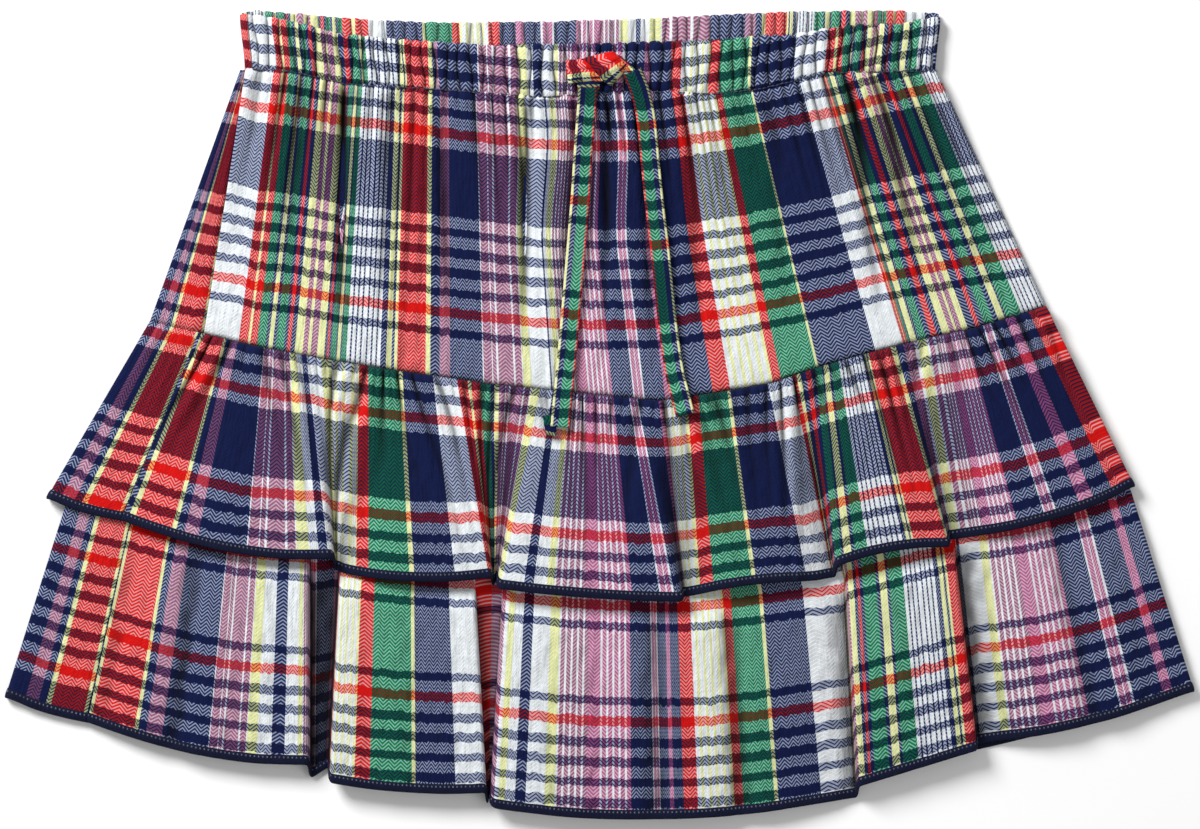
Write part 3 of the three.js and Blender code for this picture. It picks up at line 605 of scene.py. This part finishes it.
def place_yoke(c, share):
    top_down = np.where(c["high"] < 0.5, line_at(BACK_STITCHING, c["top"]), line_at(STITCHING, c["top"]) - 2)
    x = across_mm(mix(c["top"], c["bottom"], share))
    y = mix(down_mm(top_down), down_mm(line_at(RUFFLE_SEAM, c["bottom"])), share)
    length = (line_at(RUFFLE_SEAM, c["bottom"]) - top_down) * STEP
    level = yoke_level(share)
    distance = share * length
    uneven = c["turns"] + 0.4 * np.sin(c["turns"] * 1.1 + 2) + 0.004 * distance * np.sin(c["turns"] * 0.8)
    waves = 2.4 * gather(uneven, distance, 26, 150, 40)
    waves = waves + 1.4 * gather(uneven * 1.9 + 0.4, distance, 14, 70, 45)
    side = np.clip((x - across_mm(215)) / 14, 0, 1) * np.clip((across_mm(1030) - x) / 14, 0, 1)
    folds = dips(YOKE_FOLDS, mix(c["top"], c["bottom"], share), share)
    folds = folds * ease(0, 0.07, share) * ease(0.95, 0.45, share)
    ripple = (waves - folds * 1.25) * side + crinkle(x, y)
    groove = -0.8 * np.exp(-(((length - distance) / 1.6) ** 2)) - 1.6 * np.exp(-((distance / 1.6) ** 2))
    return x, y, mix(BACK_LEVEL, level, c["high"]) + ease(0.6, 1, c["high"]) * (ripple + groove)


def place_yoke_back(c, share):
    front = c["high"] > 1
    part = (c["seam"] - 150) / 48.4
    under = mix(239.6, 915.4, (c["seam"] - 150) / 865)
    top = np.where(front, mix(239.6, 247.6, np.clip(part, 0, 1) ** 0.4), under)
    high = np.clip((c["high"] - BACK_LEVEL) / (6.0 - BACK_LEVEL), 0, 1)
    top_down = np.where(high > 0.5, line_at(STITCHING, top), line_at(BACK_STITCHING, top))
    x = across_mm(mix(top, c["seam"] + 6 * np.where(front, ease(0.8, 1, part), 0), share))
    y = mix(down_mm(top_down), down_mm(line_at(RUFFLE_SEAM, c["seam"])), share)
    level = yoke_level(share)
    distance = share * YOKE_LENGTH
    waves = (1 - ease(0, 0.3, high)) * (0.6 * gather((top - 240) / 11, distance, 20, 100, 51) - 0.2)
    tuck = 1.8 * np.where(front, ease(0.85, 1, part), 0)
    return x, y, mix(BACK_LEVEL, level, high) + waves + ease(0.7, 1, high) * crinkle(x, y) - tuck


# Casings
def on_casing(c, share, line_top, line_bottom, lift):
    across = mix(c["across"], mix(c["across"], 590, 0.014), ease(0, 1, share))
    top, bottom = line_at(line_top, c["across"]), line_at(line_bottom, c["across"])
    return across_mm(across), mix(down_mm(top) + lift * np.exp(-share / 0.12), down_mm(bottom), share)


def front_casing_columns():
    share = np.linspace(0, 1, 561)
    ends = np.linspace(0, 1, 6)[:-1]
    return {
        "across": np.concatenate([np.full(5, 240.8), mix(242, 938, share), np.full(5, 939.2)]),
        "high": np.concatenate([mix(0.55, 0.98, ends), np.ones(561), mix(0.98, 0.55, ends)]),
        "turns": np.concatenate([np.zeros(5), share * CASING_RIDGES, np.full(5, CASING_RIDGES)]),
    }


def place_front_casing(c, share):
    height = ridges(c["turns"] + 0.12 * np.sin(share * 5 + c["turns"] * 1.7), 61)
    swell = np.array(1 - 0.75 * np.exp(-(((1 - share) / 0.05) ** 2)) - 0.5 * np.exp(-((share / 0.05) ** 2)))
    x, y = on_casing(c, share, FRONT_TOP, STITCHING, 1.1 * (height - 0.6))
    level = mix(CASING_SHELL / 2 + 0.2, CASING_LEVEL - 0.3, c["high"])
    return x, y, level + 2.8 * height * swell * ease(0.9, 1, c["high"])


def back_casing_columns():
    share = np.linspace(0, 1, 561)
    return {"across": mix(939, 241, share), "turns": share * BACK_RIDGES, "high": np.zeros(561)}


def place_back_casing(c, share):
    height = ridges(c["turns"] + 0.1 * np.sin(share * 4 + c["turns"] * 2.1), 71)
    x, y = on_casing(c, share, BACK_TOP, BACK_STITCHING, 0.9 * (height - 0.6))
    end = ease(0, 6, np.minimum(c["across"] - 241, 939 - c["across"]))
    return x, y, CASING_SHELL / 2 + 0.1 + 1.7 * height * end + 1.6 * (1 - end)


# Points, normals and faces
def grid_points(columns, place, shares):
    c = {key: values[None, :] for key, values in columns.items()}
    share = np.asarray(shares, float)[:, None]
    x, y, z = place(c, share)
    shape = (len(shares), len(next(iter(columns.values()))))
    return np.stack([np.broadcast_to(v, shape) for v in (x, y, z)], axis=-1)


def normals(points):
    down = np.gradient(points, axis=0)
    along = np.gradient(points, axis=1)
    n = np.cross(down, along)
    return n / np.maximum(np.linalg.norm(n, axis=-1, keepdims=True), 1e-9)


def quads(a, b, c, d):
    return np.stack([a, b, c, d], axis=-1).reshape(-1, 4)


def in_scene(name, data, place=(0, 0, 0)):
    obj = bpy.data.objects.new(name, data)
    obj.location = place
    bpy.context.scene.collection.objects.link(obj)
    return obj


def make_mesh(name, points, faces, weave, material):
    points[:, 2] = np.maximum(points[:, 2], 0)
    mesh = bpy.data.meshes.new(name)
    mesh.from_pydata((points * MM).tolist(), [], faces if isinstance(faces, list) else faces.tolist())
    layer = mesh.attributes.new("weave", "FLOAT_VECTOR", "POINT")
    # Warp, weft and painted shade for hollows; a piece without painted shade keeps 1
    threads = np.ones((len(points), 3), np.float32)
    threads[:, : weave.shape[1]] = weave
    layer.data.foreach_set("vector", threads.ravel())
    mesh.polygons.foreach_set("use_smooth", np.ones(len(mesh.polygons), bool))
    mesh.materials.append(material)
    mesh.update()
    return in_scene(name, mesh)


# Hollows hold less light: the share that is left, from how far the cloth lies below its surroundings
def hollow_shade(middle, strength):
    level = middle[..., 2]
    left = np.ones_like(level)
    for reach, depth in ((4, 0.26), (14, 0.14)):
        kernel = np.exp(-np.linspace(-2, 2, 4 * reach + 1) ** 2)
        padded = np.pad(level, ((0, 0), (2 * reach, 2 * reach)), mode="edge")
        around = np.apply_along_axis(np.convolve, 1, padded, kernel / kernel.sum(), mode="valid")
        left += depth * strength * np.minimum(0, level - around)
    return np.clip(left, 0.1, 1)


# A closed shell round a grid of middle points
def shell(name, middle, weave, thick, material):
    high, wide = middle.shape[:2]
    n = normals(middle)
    offset = n * thick / 2
    points = np.concatenate([(middle + offset).reshape(-1, 3), (middle - offset).reshape(-1, 3)])
    ids = np.arange(high * wide).reshape(high, wide)
    low = ids + high * wide
    outer = quads(ids[:-1, :-1], ids[1:, :-1], ids[1:, 1:], ids[:-1, 1:])
    inner = quads(low[:-1, :-1], low[:-1, 1:], low[1:, 1:], low[1:, :-1])
    top = quads(ids[0, :-1], ids[0, 1:], low[0, 1:], low[0, :-1])
    bottom = quads(ids[-1, 1:], ids[-1, :-1], low[-1, :-1], low[-1, 1:])
    start = quads(ids[1:, 0], ids[:-1, 0], low[:-1, 0], low[1:, 0])
    end = quads(ids[:-1, -1], ids[1:, -1], low[1:, -1], low[:-1, -1])
    faces = np.concatenate([outer, inner, top, bottom, start, end])
    threads = weave.reshape(-1, weave.shape[-1])
    return make_mesh(name, points, faces, np.concatenate([threads, threads]), material)


# A closed strip of overlock thread round the hem of a grid
OVERLOCK = [(4.3, 0.28), (3.9, 0.66), (2.8, 0.84), (1.4, 0.84), (0.2, 0.7), (-0.5, 0.35), (-0.58, 0),
            (-0.5, -0.35), (0.2, -0.6), (2.0, -0.6), (4.1, -0.28), (2.4, -0.1), (2.4, 0.1)]


def overlock(name, middle, material):
    n = normals(middle)[-1]
    edge = middle[-1]
    back = middle[-1] - middle[-4]
    down = back / np.linalg.norm(back, axis=-1, keepdims=True)
    travel = travelled(edge)
    ring = np.array(OVERLOCK)
    pucker = 0.08 * np.sin(travel * 2 * math.pi / 2.1)
    sections = []
    for up, out in ring:
        loose = pucker[:, None] * (abs(out) > 0.5)
        sections.append(edge - down * up + n * (out + math.copysign(1, out) * loose))
    points = np.stack(sections, axis=0)
    count, wide = len(ring), len(edge)
    ids = np.arange(count * wide).reshape(count, wide)
    around = np.roll(ids, -1, axis=0)
    faces = quads(ids[:, :-1], around[:, :-1], around[:, 1:], ids[:, 1:]).tolist()
    faces += [ids[::-1, 0].tolist(), ids[:, -1].tolist()]
    weave = np.stack([np.tile(travel, count), np.repeat(ring[:, 0], wide)], axis=-1)
    return make_mesh(name, points.reshape(-1, 3), faces, weave, material)


# Materials
class Tree:
    def __init__(self, name):
        self.material = bpy.data.materials.new(name)
        self.material.use_nodes = True
        self.tree = self.material.node_tree
        self.shader = self.tree.nodes["Principled BSDF"]

    def node(self, kind, **settings):
        node = self.tree.nodes.new(kind)
        for key, value in settings.items():
            setattr(node, key, value)
        return node

    def join(self, value, socket):
        if isinstance(value, bpy.types.NodeSocket):
            self.tree.links.new(value, socket)
        else:
            socket.default_value = value

    def surface(self, settings):
        for name, value in settings.items():
            self.join(value, self.shader.inputs[name])

    def math(self, operation, *values):
        node = self.node("ShaderNodeMath", operation=operation)
        for value, socket in zip(values, node.inputs):
            self.join(value, socket)
        return node.outputs[0]

    def times(self, a, b):
        return self.math("MULTIPLY", a, b)

    def plus(self, a, b):
        return self.math("ADD", a, b)

    def minus(self, a, b):
        return self.math("SUBTRACT", a, b)

    def zigzag(self, value, turn):
        return self.math("PINGPONG", value, turn)

    def blend(self, share, first, second, kind="MIX"):
        node = self.node("ShaderNodeMix", data_type="RGBA", blend_type=kind)
        self.join(share, node.inputs[0])
        self.join(first, node.inputs[6])
        self.join(second, node.inputs[7])
        return node.outputs[2]

    def weave(self):
        source = self.node("ShaderNodeAttribute", attribute_name="weave")
        split = self.node("ShaderNodeSeparateXYZ")
        self.tree.links.new(source.outputs["Vector"], split.inputs[0])
        return source.outputs["Vector"], split.outputs[0], split.outputs[1], split.outputs[2]

    def stretched(self, vector, across, along):
        node = self.node("ShaderNodeVectorMath", operation="MULTIPLY")
        self.join(vector, node.inputs[0])
        node.inputs[1].default_value = (across, along, 1)
        return node.outputs[0]

    def noise(self, vector, scale, detail=2.0):
        node = self.node("ShaderNodeTexNoise")
        self.join(vector, node.inputs["Vector"])
        node.inputs["Scale"].default_value = scale
        node.inputs["Detail"].default_value = detail
        return node.outputs[0]

    def bump(self, height, distance):
        node = self.node("ShaderNodeBump")
        node.inputs["Strength"].default_value = 1
        node.inputs["Distance"].default_value = distance * MM
        self.join(height, node.inputs["Height"])
        self.tree.links.new(node.outputs[0], self.shader.inputs["Normal"])


def display(colour):
    return (*(v / 255 for v in colour), 1)


# The colour of a repeating row of stripes at a place along it, as display values
def stripe_colour(tree, place, bands):
    ends = np.cumsum([wide for wide, _ in bands])
    within = tree.math("FLOORED_MODULO", place, float(ends[-1]))
    starts = ends - [wide for wide, _ in bands]
    result = None
    for first in range(0, len(bands), MOST_STOPS):
        part = range(first, min(first + MOST_STOPS, len(bands)))
        low, high = float(starts[part[0]]), float(ends[part[-1]])
        scaled = tree.math("DIVIDE", tree.minus(within, low), high - low)
        ramp = tree.node("ShaderNodeValToRGB")
        ramp.color_ramp.interpolation = "CONSTANT"
        stops = ramp.color_ramp.elements
        stops.remove(stops[1])
        stops[0].position = 0
        stops[0].color = display(bands[part[0]][1])
        for k in part[1:]:
            stop = stops.new((starts[k] - low) / (high - low))
            stop.color = display(bands[k][1])
        tree.tree.links.new(scaled, ramp.inputs[0])
        if result is None:
            result = ramp.outputs[0]
        else:
            result = tree.blend(tree.math("GREATER_THAN", within, low), result, ramp.outputs[0])
    return result


# Yarn-dyed herringbone twill
def plaid(name, warp, weft):
    tree = Tree(name)
    vector, u, v, left = tree.weave()
    wander = tree.minus(tree.noise(tree.stretched(vector, 0.26, 0.035), 1.0), 0.5)
    fray = tree.minus(tree.noise(vector, 0.9, 1.0), 0.5)
    u_here = tree.plus(u, tree.times(fray, 0.5))
    strayed = tree.plus(tree.times(wander, 3.4), tree.times(fray, 0.9))
    v_here = tree.plus(v, strayed)
    chevron = tree.zigzag(u, HERRINGBONE_COLUMN)
    diagonal = tree.math("DIVIDE", tree.plus(v, chevron), HERRINGBONE_PITCH)
    wave = tree.zigzag(diagonal, 0.5)
    over = tree.math("MULTIPLY_ADD", wave, 4.2, -0.78)
    over = tree.math("MINIMUM", tree.math("MAXIMUM", over, 0.05), 0.95)
    along = stripe_colour(tree, u_here, warp)
    across = stripe_colour(tree, v_here, weft)
    # The yarns' colours multiplied: partly the yarn below showing through, partly painted shade between the
    # threads
    both = tree.blend(1.0, along, across, "MULTIPLY")
    colour = tree.blend(UNDER_YARN_AND_SHADE, tree.blend(over, along, across), both)
    # Painted shade across each twill line, darker where the threads lie deeper
    painted_thread_shade = tree.math("MULTIPLY_ADD", tree.zigzag(tree.times(wave, 2), 0.5), 0.2, 0.88)
    slub = tree.math("MULTIPLY_ADD", tree.noise(vector, 0.45), 0.16, 0.92)
    # left is painted shade for hollows, from the weave's third value; it darkens the colour together with the
    # overall depth of colour
    depth = tree.times(left, DEPTH_OF_COLOUR)
    shade = tree.times(tree.times(painted_thread_shade, slub), depth)
    grey = tree.node("ShaderNodeCombineColor")
    for socket in grey.inputs[:3]:
        tree.join(shade, socket)
    shaded = tree.blend(1.0, colour, grey.outputs[0], "MULTIPLY")
    linear = tree.node("ShaderNodeGamma")
    linear.inputs[1].default_value = 2.2
    tree.join(shaded, linear.inputs[0])
    tree.surface({"Base Color": linear.outputs[0], "Roughness": 0.86, "Specular IOR Level": 0.12,
                  "Sheen Weight": 0.03, "Sheen Roughness": 0.5})
    creases = tree.noise(tree.stretched(vector, 0.5, 0.07), 1.0, 3.0)
    puckers = tree.noise(tree.stretched(vector, 0.3, 0.2), 1.0)
    height = tree.plus(tree.times(wave, 0.3), tree.times(creases, 1.1))
    tree.bump(tree.plus(height, puckers), 0.6)
    return tree.material


# Close navy overlock thread, with a row of small painted highlights along its upper edge
def overlock_thread():
    tree = Tree("overlock_thread")
    vector, along, up, _ = tree.weave()
    slanted = tree.plus(along, tree.times(up, 0.25))
    thread = tree.zigzag(tree.math("DIVIDE", slanted, 0.7), 0.5)
    # Painted highlights: small pale glints in a row along the upper edge, of random strength
    glint_spots = tree.math("LESS_THAN", tree.zigzag(tree.math("DIVIDE", along, 2.1), 0.5), 0.17)
    row = tree.math("LESS_THAN", tree.math("ABSOLUTE", tree.minus(up, 3.0)), 0.4)
    glint_strength = tree.times(tree.noise(vector, 0.2), 0.38)
    painted_glint = tree.times(tree.times(glint_spots, row), glint_strength)
    # Painted shade: the grooves between the thread's turns are darker than its ridges, following the bump
    dark = tree.blend(thread, OVERLOCK_DARK, OVERLOCK_LIGHT)
    colour = tree.blend(painted_glint, dark, OVERLOCK_GLINT)
    tree.surface({"Base Color": colour, "Roughness": 0.8, "Specular IOR Level": 0.15})
    tree.bump(tree.plus(thread, tree.times(tree.noise(vector, 1.2), 0.8)), 0.5)
    return tree.material


def thread(name, colour):
    tree = Tree(name)
    vector, _, _, _ = tree.weave()
    ply = tree.zigzag(tree.noise(vector, 2.5), 0.5)
    tree.surface({"Base Color": tree.blend(ply, colour, THREAD_SHADOW), "Roughness": 0.65})
    tree.bump(ply, 0.1)
    return tree.material


# Attach a piece to the root body, and hide the CAD part of the node it stands for
def dress(obj, node=None):
    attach(obj, "root")
    if node:
        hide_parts(node)
    return obj


# Camera and light
def camera():
    wide = VIEW_WIDE * STEP * MM
    data = bpy.data.cameras.new("camera")
    data.sensor_width = 36
    data.lens = 36 * CAMERA_HEIGHT / wide
    data.clip_end = 20
    bpy.context.scene.camera = in_scene("camera", data, (0, 0, CAMERA_HEIGHT + 0.005))


def light(name, place, size, watts):
    data = bpy.data.lights.new(name, "AREA")
    data.shape = "DISK"
    data.size = size
    data.energy = watts
    obj = in_scene(name, data, place)
    obj.rotation_euler = (-Vector(place)).to_track_quat("-Z", "Y").to_euler()


def studio():
    scene = bpy.context.scene
    scene.view_settings.view_transform = "Standard"
    world = bpy.data.worlds.new("studio")
    world.use_nodes = True
    background = world.node_tree.nodes["Background"]
    background.inputs[0].default_value = (1, 1, 1, 1)
    background.inputs[1].default_value = ROOM_LIGHT
    scene.world = world
    for lamp in LIGHTS:
        light(*lamp)
    points = 3000 * rows([-1, -1, 0], [1, -1, 0], [1, 1, 0], [-1, 1, 0])
    tree = Tree("pale_floor")
    tree.surface({"Base Color": (0.93, 0.93, 0.93, 1), "Roughness": 0.9})
    floor = make_mesh("floor", points, np.array([[0, 1, 2, 3]]), np.zeros((4, 2)), tree.material)


# Flat ties
def smooth_path(path, count):
    points = np.stack([across_mm(path[:, 0]), down_mm(path[:, 1]), path[:, 2]], axis=-1)
    ends = np.concatenate([[2 * points[0] - points[1]], points, [2 * points[-1] - points[-2]]])
    made = []
    for k in range(len(points) - 1):
        a, b, c, d = ends[k : k + 4]
        square, cube = 2 * a - 5 * b + 4 * c - d, 3 * b - a - 3 * c + d
        for t in np.linspace(0, 1, count, endpoint=False):
            made.append(0.5 * (2 * b + (c - a) * t + square * t**2 + cube * t**3))
    made.append(points[-1])
    return np.array(made)


# A closed skin through a row of rings, with a cap at each end
def skin(name, rings, weave, material):
    count, around = rings.shape[:2]
    ids = np.arange(count * around).reshape(count, around)
    turned = np.roll(ids, -1, axis=1)
    faces = quads(ids[:-1], ids[1:], turned[1:], turned[:-1]).tolist()
    faces += [ids[0].tolist(), ids[-1][::-1].tolist()]
    return make_mesh(name, rings.reshape(-1, 3), faces, weave, material)


# A flat tie's outline: share of half its width and of half its thickness
TIE_RIM = [(-1, 0), (-0.97, 0.6), (-0.88, 0.95), (-0.74, 0.8), (-0.3, 0.66), (0.3, 0.66), (0.74, 0.8),
           (0.88, 0.95), (0.97, 0.6), (1, 0), (0.97, -0.6), (0.88, -0.95), (0.3, -0.9), (-0.3, -0.9),
           (-0.88, -0.95), (-0.97, -0.6)]


# A closed band along a path: turned edges, a slight hollow and a soft ripple
def band(name, path, width, thick, weave_start, weave_along, material, turn):
    side, up = directions(path)
    travel = travelled(path)
    ripple = 0.16 * np.sin(travel * 0.9) + 0.1 * np.sin(travel * 0.37 + 1)
    sections, weave = [], []
    for a, b in TIE_RIM:
        lift = b * thick / 2 + (ripple if b > 0 else 0) * (1 - abs(a))
        sections.append(path + side * (a * width / 2) + up * np.reshape(lift + np.zeros(len(path)), (-1, 1)))
        start = np.full(len(path), weave_start + turn * a * width / 2)
        weave.append(np.stack([start, weave_along + travel], axis=-1))
    return skin(name, np.stack(sections, axis=1), np.stack(weave, axis=1).reshape(-1, 2), material)


def tails(left_cloth, right_cloth):
    plans = (
        ("tie_tail_left", LEFT_TAIL, 24.5, left_cloth, 1),
        ("tie_tail_right", RIGHT_TAIL, 0, right_cloth, -1),
    )
    for name, table, along, material, turn in plans:
        path = smooth_path(table, 12)
        obj = band(name + "_cloth", path, TAIL_WIDTH, TAIL_THICK, TAIL_WIDTH / 2, along, material, turn)
        dress(obj, name)


# A closed, softly domed patch of cloth between four corners, given clockwise from its upper left
def patch(name, corners, dome, thick, weave, bend, material):
    places = np.array([[across_mm(a), down_mm(d), high] for a, d, high in corners])
    u, v = np.meshgrid(np.linspace(0, 1, 34), np.linspace(0, 1, 26))
    top = mix(places[0], places[1], u[..., None])
    bottom = mix(places[3], places[2], u[..., None])
    middle = mix(top, bottom, v[..., None])
    hump = (1 - np.abs(2 * u - 1) ** 3.5) * (1 - np.abs(2 * v - 1) ** 3.5)
    creases = 0.22 * np.sin(9 * u + 5 * v) + 0.16 * np.sin(17 * v - 6 * u)
    middle[..., 2] += dome * hump + creases * hump
    middle[..., 1] += bend * np.sin(math.pi * u) * (v - 0.5)
    across, along, wide, tall = weave
    threads = np.stack([across + wide * (1 - v), along + tall * u], axis=-1)
    return shell(name, middle, threads, thick, material)


# The tied knot: a short loop on the left, a wrap across the middle and the start of the right end under it
def knot(knot_cloth, tie_cloth):
    for name, (*shape, flat, rests_on) in KNOT_PATCHES.items():
        piece = patch(name, *shape, tie_cloth if name in ("knot_under", "tie_end_turned") else knot_cloth)
        dress(piece, "tie_knot" if name == "knot_wrap" else None)


# A closed thread that follows a row of points
def strand(name, path, thick, material):
    side, up = directions(path)
    angles = np.arange(6) * math.pi / 3
    rings = np.stack([path + (up * math.sin(a) - side * math.cos(a)) * thick / 2 for a in angles], axis=1)
    travel = travelled(path)
    return skin(name, rings, np.repeat(np.stack([travel, travel * 0], axis=-1), 6, axis=0), material)


# Lockstitching: each stitch comes up out of the cloth and goes down again
def stitches(name, points, material, lift):
    travel = travelled(points)
    fine = np.linspace(0, travel[-1], int(travel[-1] / 0.45))
    path = np.stack([np.interp(fine, travel, points[:, k]) for k in range(3)], axis=-1)
    smooth = np.ones(7) / 7
    level = np.convolve(np.pad(path[:, 2], 3, mode="edge"), smooth, mode="valid")
    turn = 2 * math.pi * fine / STITCH
    path[:, 2] = np.maximum(level, path[:, 2] - 0.2) + lift + 0.35 * np.sin(turn)
    path[:, 1] += 0.12 * np.sin(turn * 0.37)
    dress(strand(name, path, THREAD_THICK, material))


# Shares from the top to the bottom of a sheet, closer together near its top if crowded
def spread(count, crowd=1.0):
    return np.linspace(0, 1, count) ** crowd


# Threads of the long ruffle's front run straight down, whatever the cloth under the short one does
def long_front_warp(columns, threads, shares):
    front = int(np.argmax(columns["hem"]))
    made = []
    for share in shares:
        x, _, _ = place_long({key: values[:front] for key, values in columns.items()}, share)
        own = across_mm(along_warp(columns["seam"], columns["mid"], columns["hem"], share))[:front]
        order = np.maximum.accumulate(own)
        row = threads.copy()
        row[:front] = np.where(np.abs(x - own) < 0.01, threads[:front], np.interp(x, order, threads[:front]))
        made.append(row)
    return np.array(made)


# One tier's cloth with its hem
def tier(node, columns, place, shares, warp, weft, cloth, hem=None):
    slot, (wide, tall), thick, painted_shade_strength = SHEETS[node]
    middle = grid_points(columns, place, shares)
    shape = middle.shape[:2]
    # The weave's third value is painted shade, darker where the sheet lies in hollows, folds and gathers
    weave = [np.broadcast_to(warp, shape), np.broadcast_to(weft, shape), hollow_shade(middle, painted_shade_strength)]
    obj = dress(shell(node + "_cloth", middle, np.stack(weave, axis=-1), thick, cloth), node)
    extra = [dress(overlock(node + "_overlock", middle, hem))] if hem else []
    return middle


# Threads of the upper tier: straight down, apart from the middle ones near the casing
def yoke_warp(columns, shares):
    top, bottom, share = columns["top"][None, :], columns["bottom"][None, :], shares[:, None]
    line, seam = line_at(STITCHING, top), line_at(RUFFLE_SEAM, bottom)
    down = mix(line, seam, share)
    x = mix(top, bottom, share)
    moved = YOKE_SHIFT[:, 0] + YOKE_SHIFT[:, 1]
    straight = np.interp(x, moved, YOKE_SHIFT[:, 0])
    straight = np.where((x < moved[0]) | (x > moved[-1]), x, straight)
    x = mix(x, straight, 1 - ease(120, 255, down))
    level = mix(top, bottom, (250 - line) / (seam - line))
    return line_at(YOKE_WARP, level + (x - mix(top, bottom, share))) + columns["hook"][None, :]


def weft_down(first, shares, length):
    return (first + shares * length)[:, None]


# Weft of the upper tier and the casing, measured from its first wide navy band
def weft_between(line_top, line_bottom, across_top, across_bottom, shares):
    share = shares[:, None]
    level = mix(line_at(line_top, across_top), line_at(line_bottom, across_bottom), share)
    return (level - line_at(FIRST_WEFT, mix(across_top, across_bottom, share))) * STEP


def ruffle_fronts(cloth, edge):
    columns = short_front()
    shares = spread(58, 1.12)
    warp = flute_warp(columns, SHORT_FLUTES, SHORT_WARP, True)
    weft = weft_down(SHORT_WEFT_AT_SEAM, shares, SHORT_LENGTH)
    tier("short_ruffle_front", columns, place_short, shares, warp, weft, cloth, edge)

    columns = long_front()
    shares = spread(76)
    warp = long_front_warp(columns, flute_warp(columns, LONG_FLUTES, LONG_WARP, False), shares)
    weft = weft_down(LONG_WEFT_AT_SEAM, shares, LONG_LENGTH)
    tier("long_ruffle_front", columns, place_long, shares, warp, weft, cloth, edge)


def backs(cloth, edge):
    plans = (
        ("short_ruffle_back", short_back, place_short_back, 36, SHORT_BACK_WEFT_AT_SEAM, SHORT_LENGTH, edge),
        ("upper_tier_back", short_back, place_yoke_back, 40, YOKE_BACK_WEFT_AT_TOP, YOKE_LENGTH, None),
        ("long_ruffle_back", long_back, place_long_back, 60, LONG_BACK_WEFT_AT_SEAM, LONG_LENGTH, edge),
    )
    for node, make_columns, place, count, first, length, hem in plans:
        columns = make_columns()
        shares = spread(count)
        tier(node, columns, place, shares, columns["place"], weft_down(first, shares, length), cloth, hem)


def upper_tier(cloth):
    columns = yoke_columns()
    shares = spread(66, 1.15)
    weft = weft_between(STITCHING, RUFFLE_SEAM, columns["top"], columns["bottom"], shares)
    tier("upper_tier_front", columns, place_yoke, shares, yoke_warp(columns, shares), weft, cloth)


def casings(cloth):
    columns = front_casing_columns()
    shares = spread(24)
    across = columns["across"]
    weft = weft_between(FRONT_TOP, STITCHING, across, across, shares)
    warp = line_at(CASING_WARP, across)
    made = tier("waistband_front", columns, place_front_casing, shares, warp, weft, cloth)
    line = mix(made[-1], made[-2], 0.3)[6:-6]
    navy_thread = thread("navy_thread", NAVY_THREAD)
    stitches("casing_stitching", line, navy_thread, CASING_SHELL / 2 + 0.1)

    columns = back_casing_columns()
    warp = line_at(BACK_CASING_WARP, columns["across"])
    weft = weft_down(BACK_CASING_WEFT_AT_TOP, shares, 26)
    tier("waistband_back", columns, place_back_casing, shares, warp, weft, cloth)


def build():
    camera()
    studio()
    cloth = plaid("plaid_twill", WARP, WEFT)
    tie_cloth = plaid("tie_twill", TIE_WARP, WEFT)
    edge = overlock_thread()
    tails(tie_cloth, plaid("right_tie_twill", TIE_WARP, RIGHT_TIE_WEFT))
    knot(plaid("knot_twill", KNOT_WARP, KNOT_WEFT), tie_cloth)
    ruffle_fronts(cloth, edge)
    backs(cloth, edge)
    upper_tier(cloth)
    casings(cloth)


build()
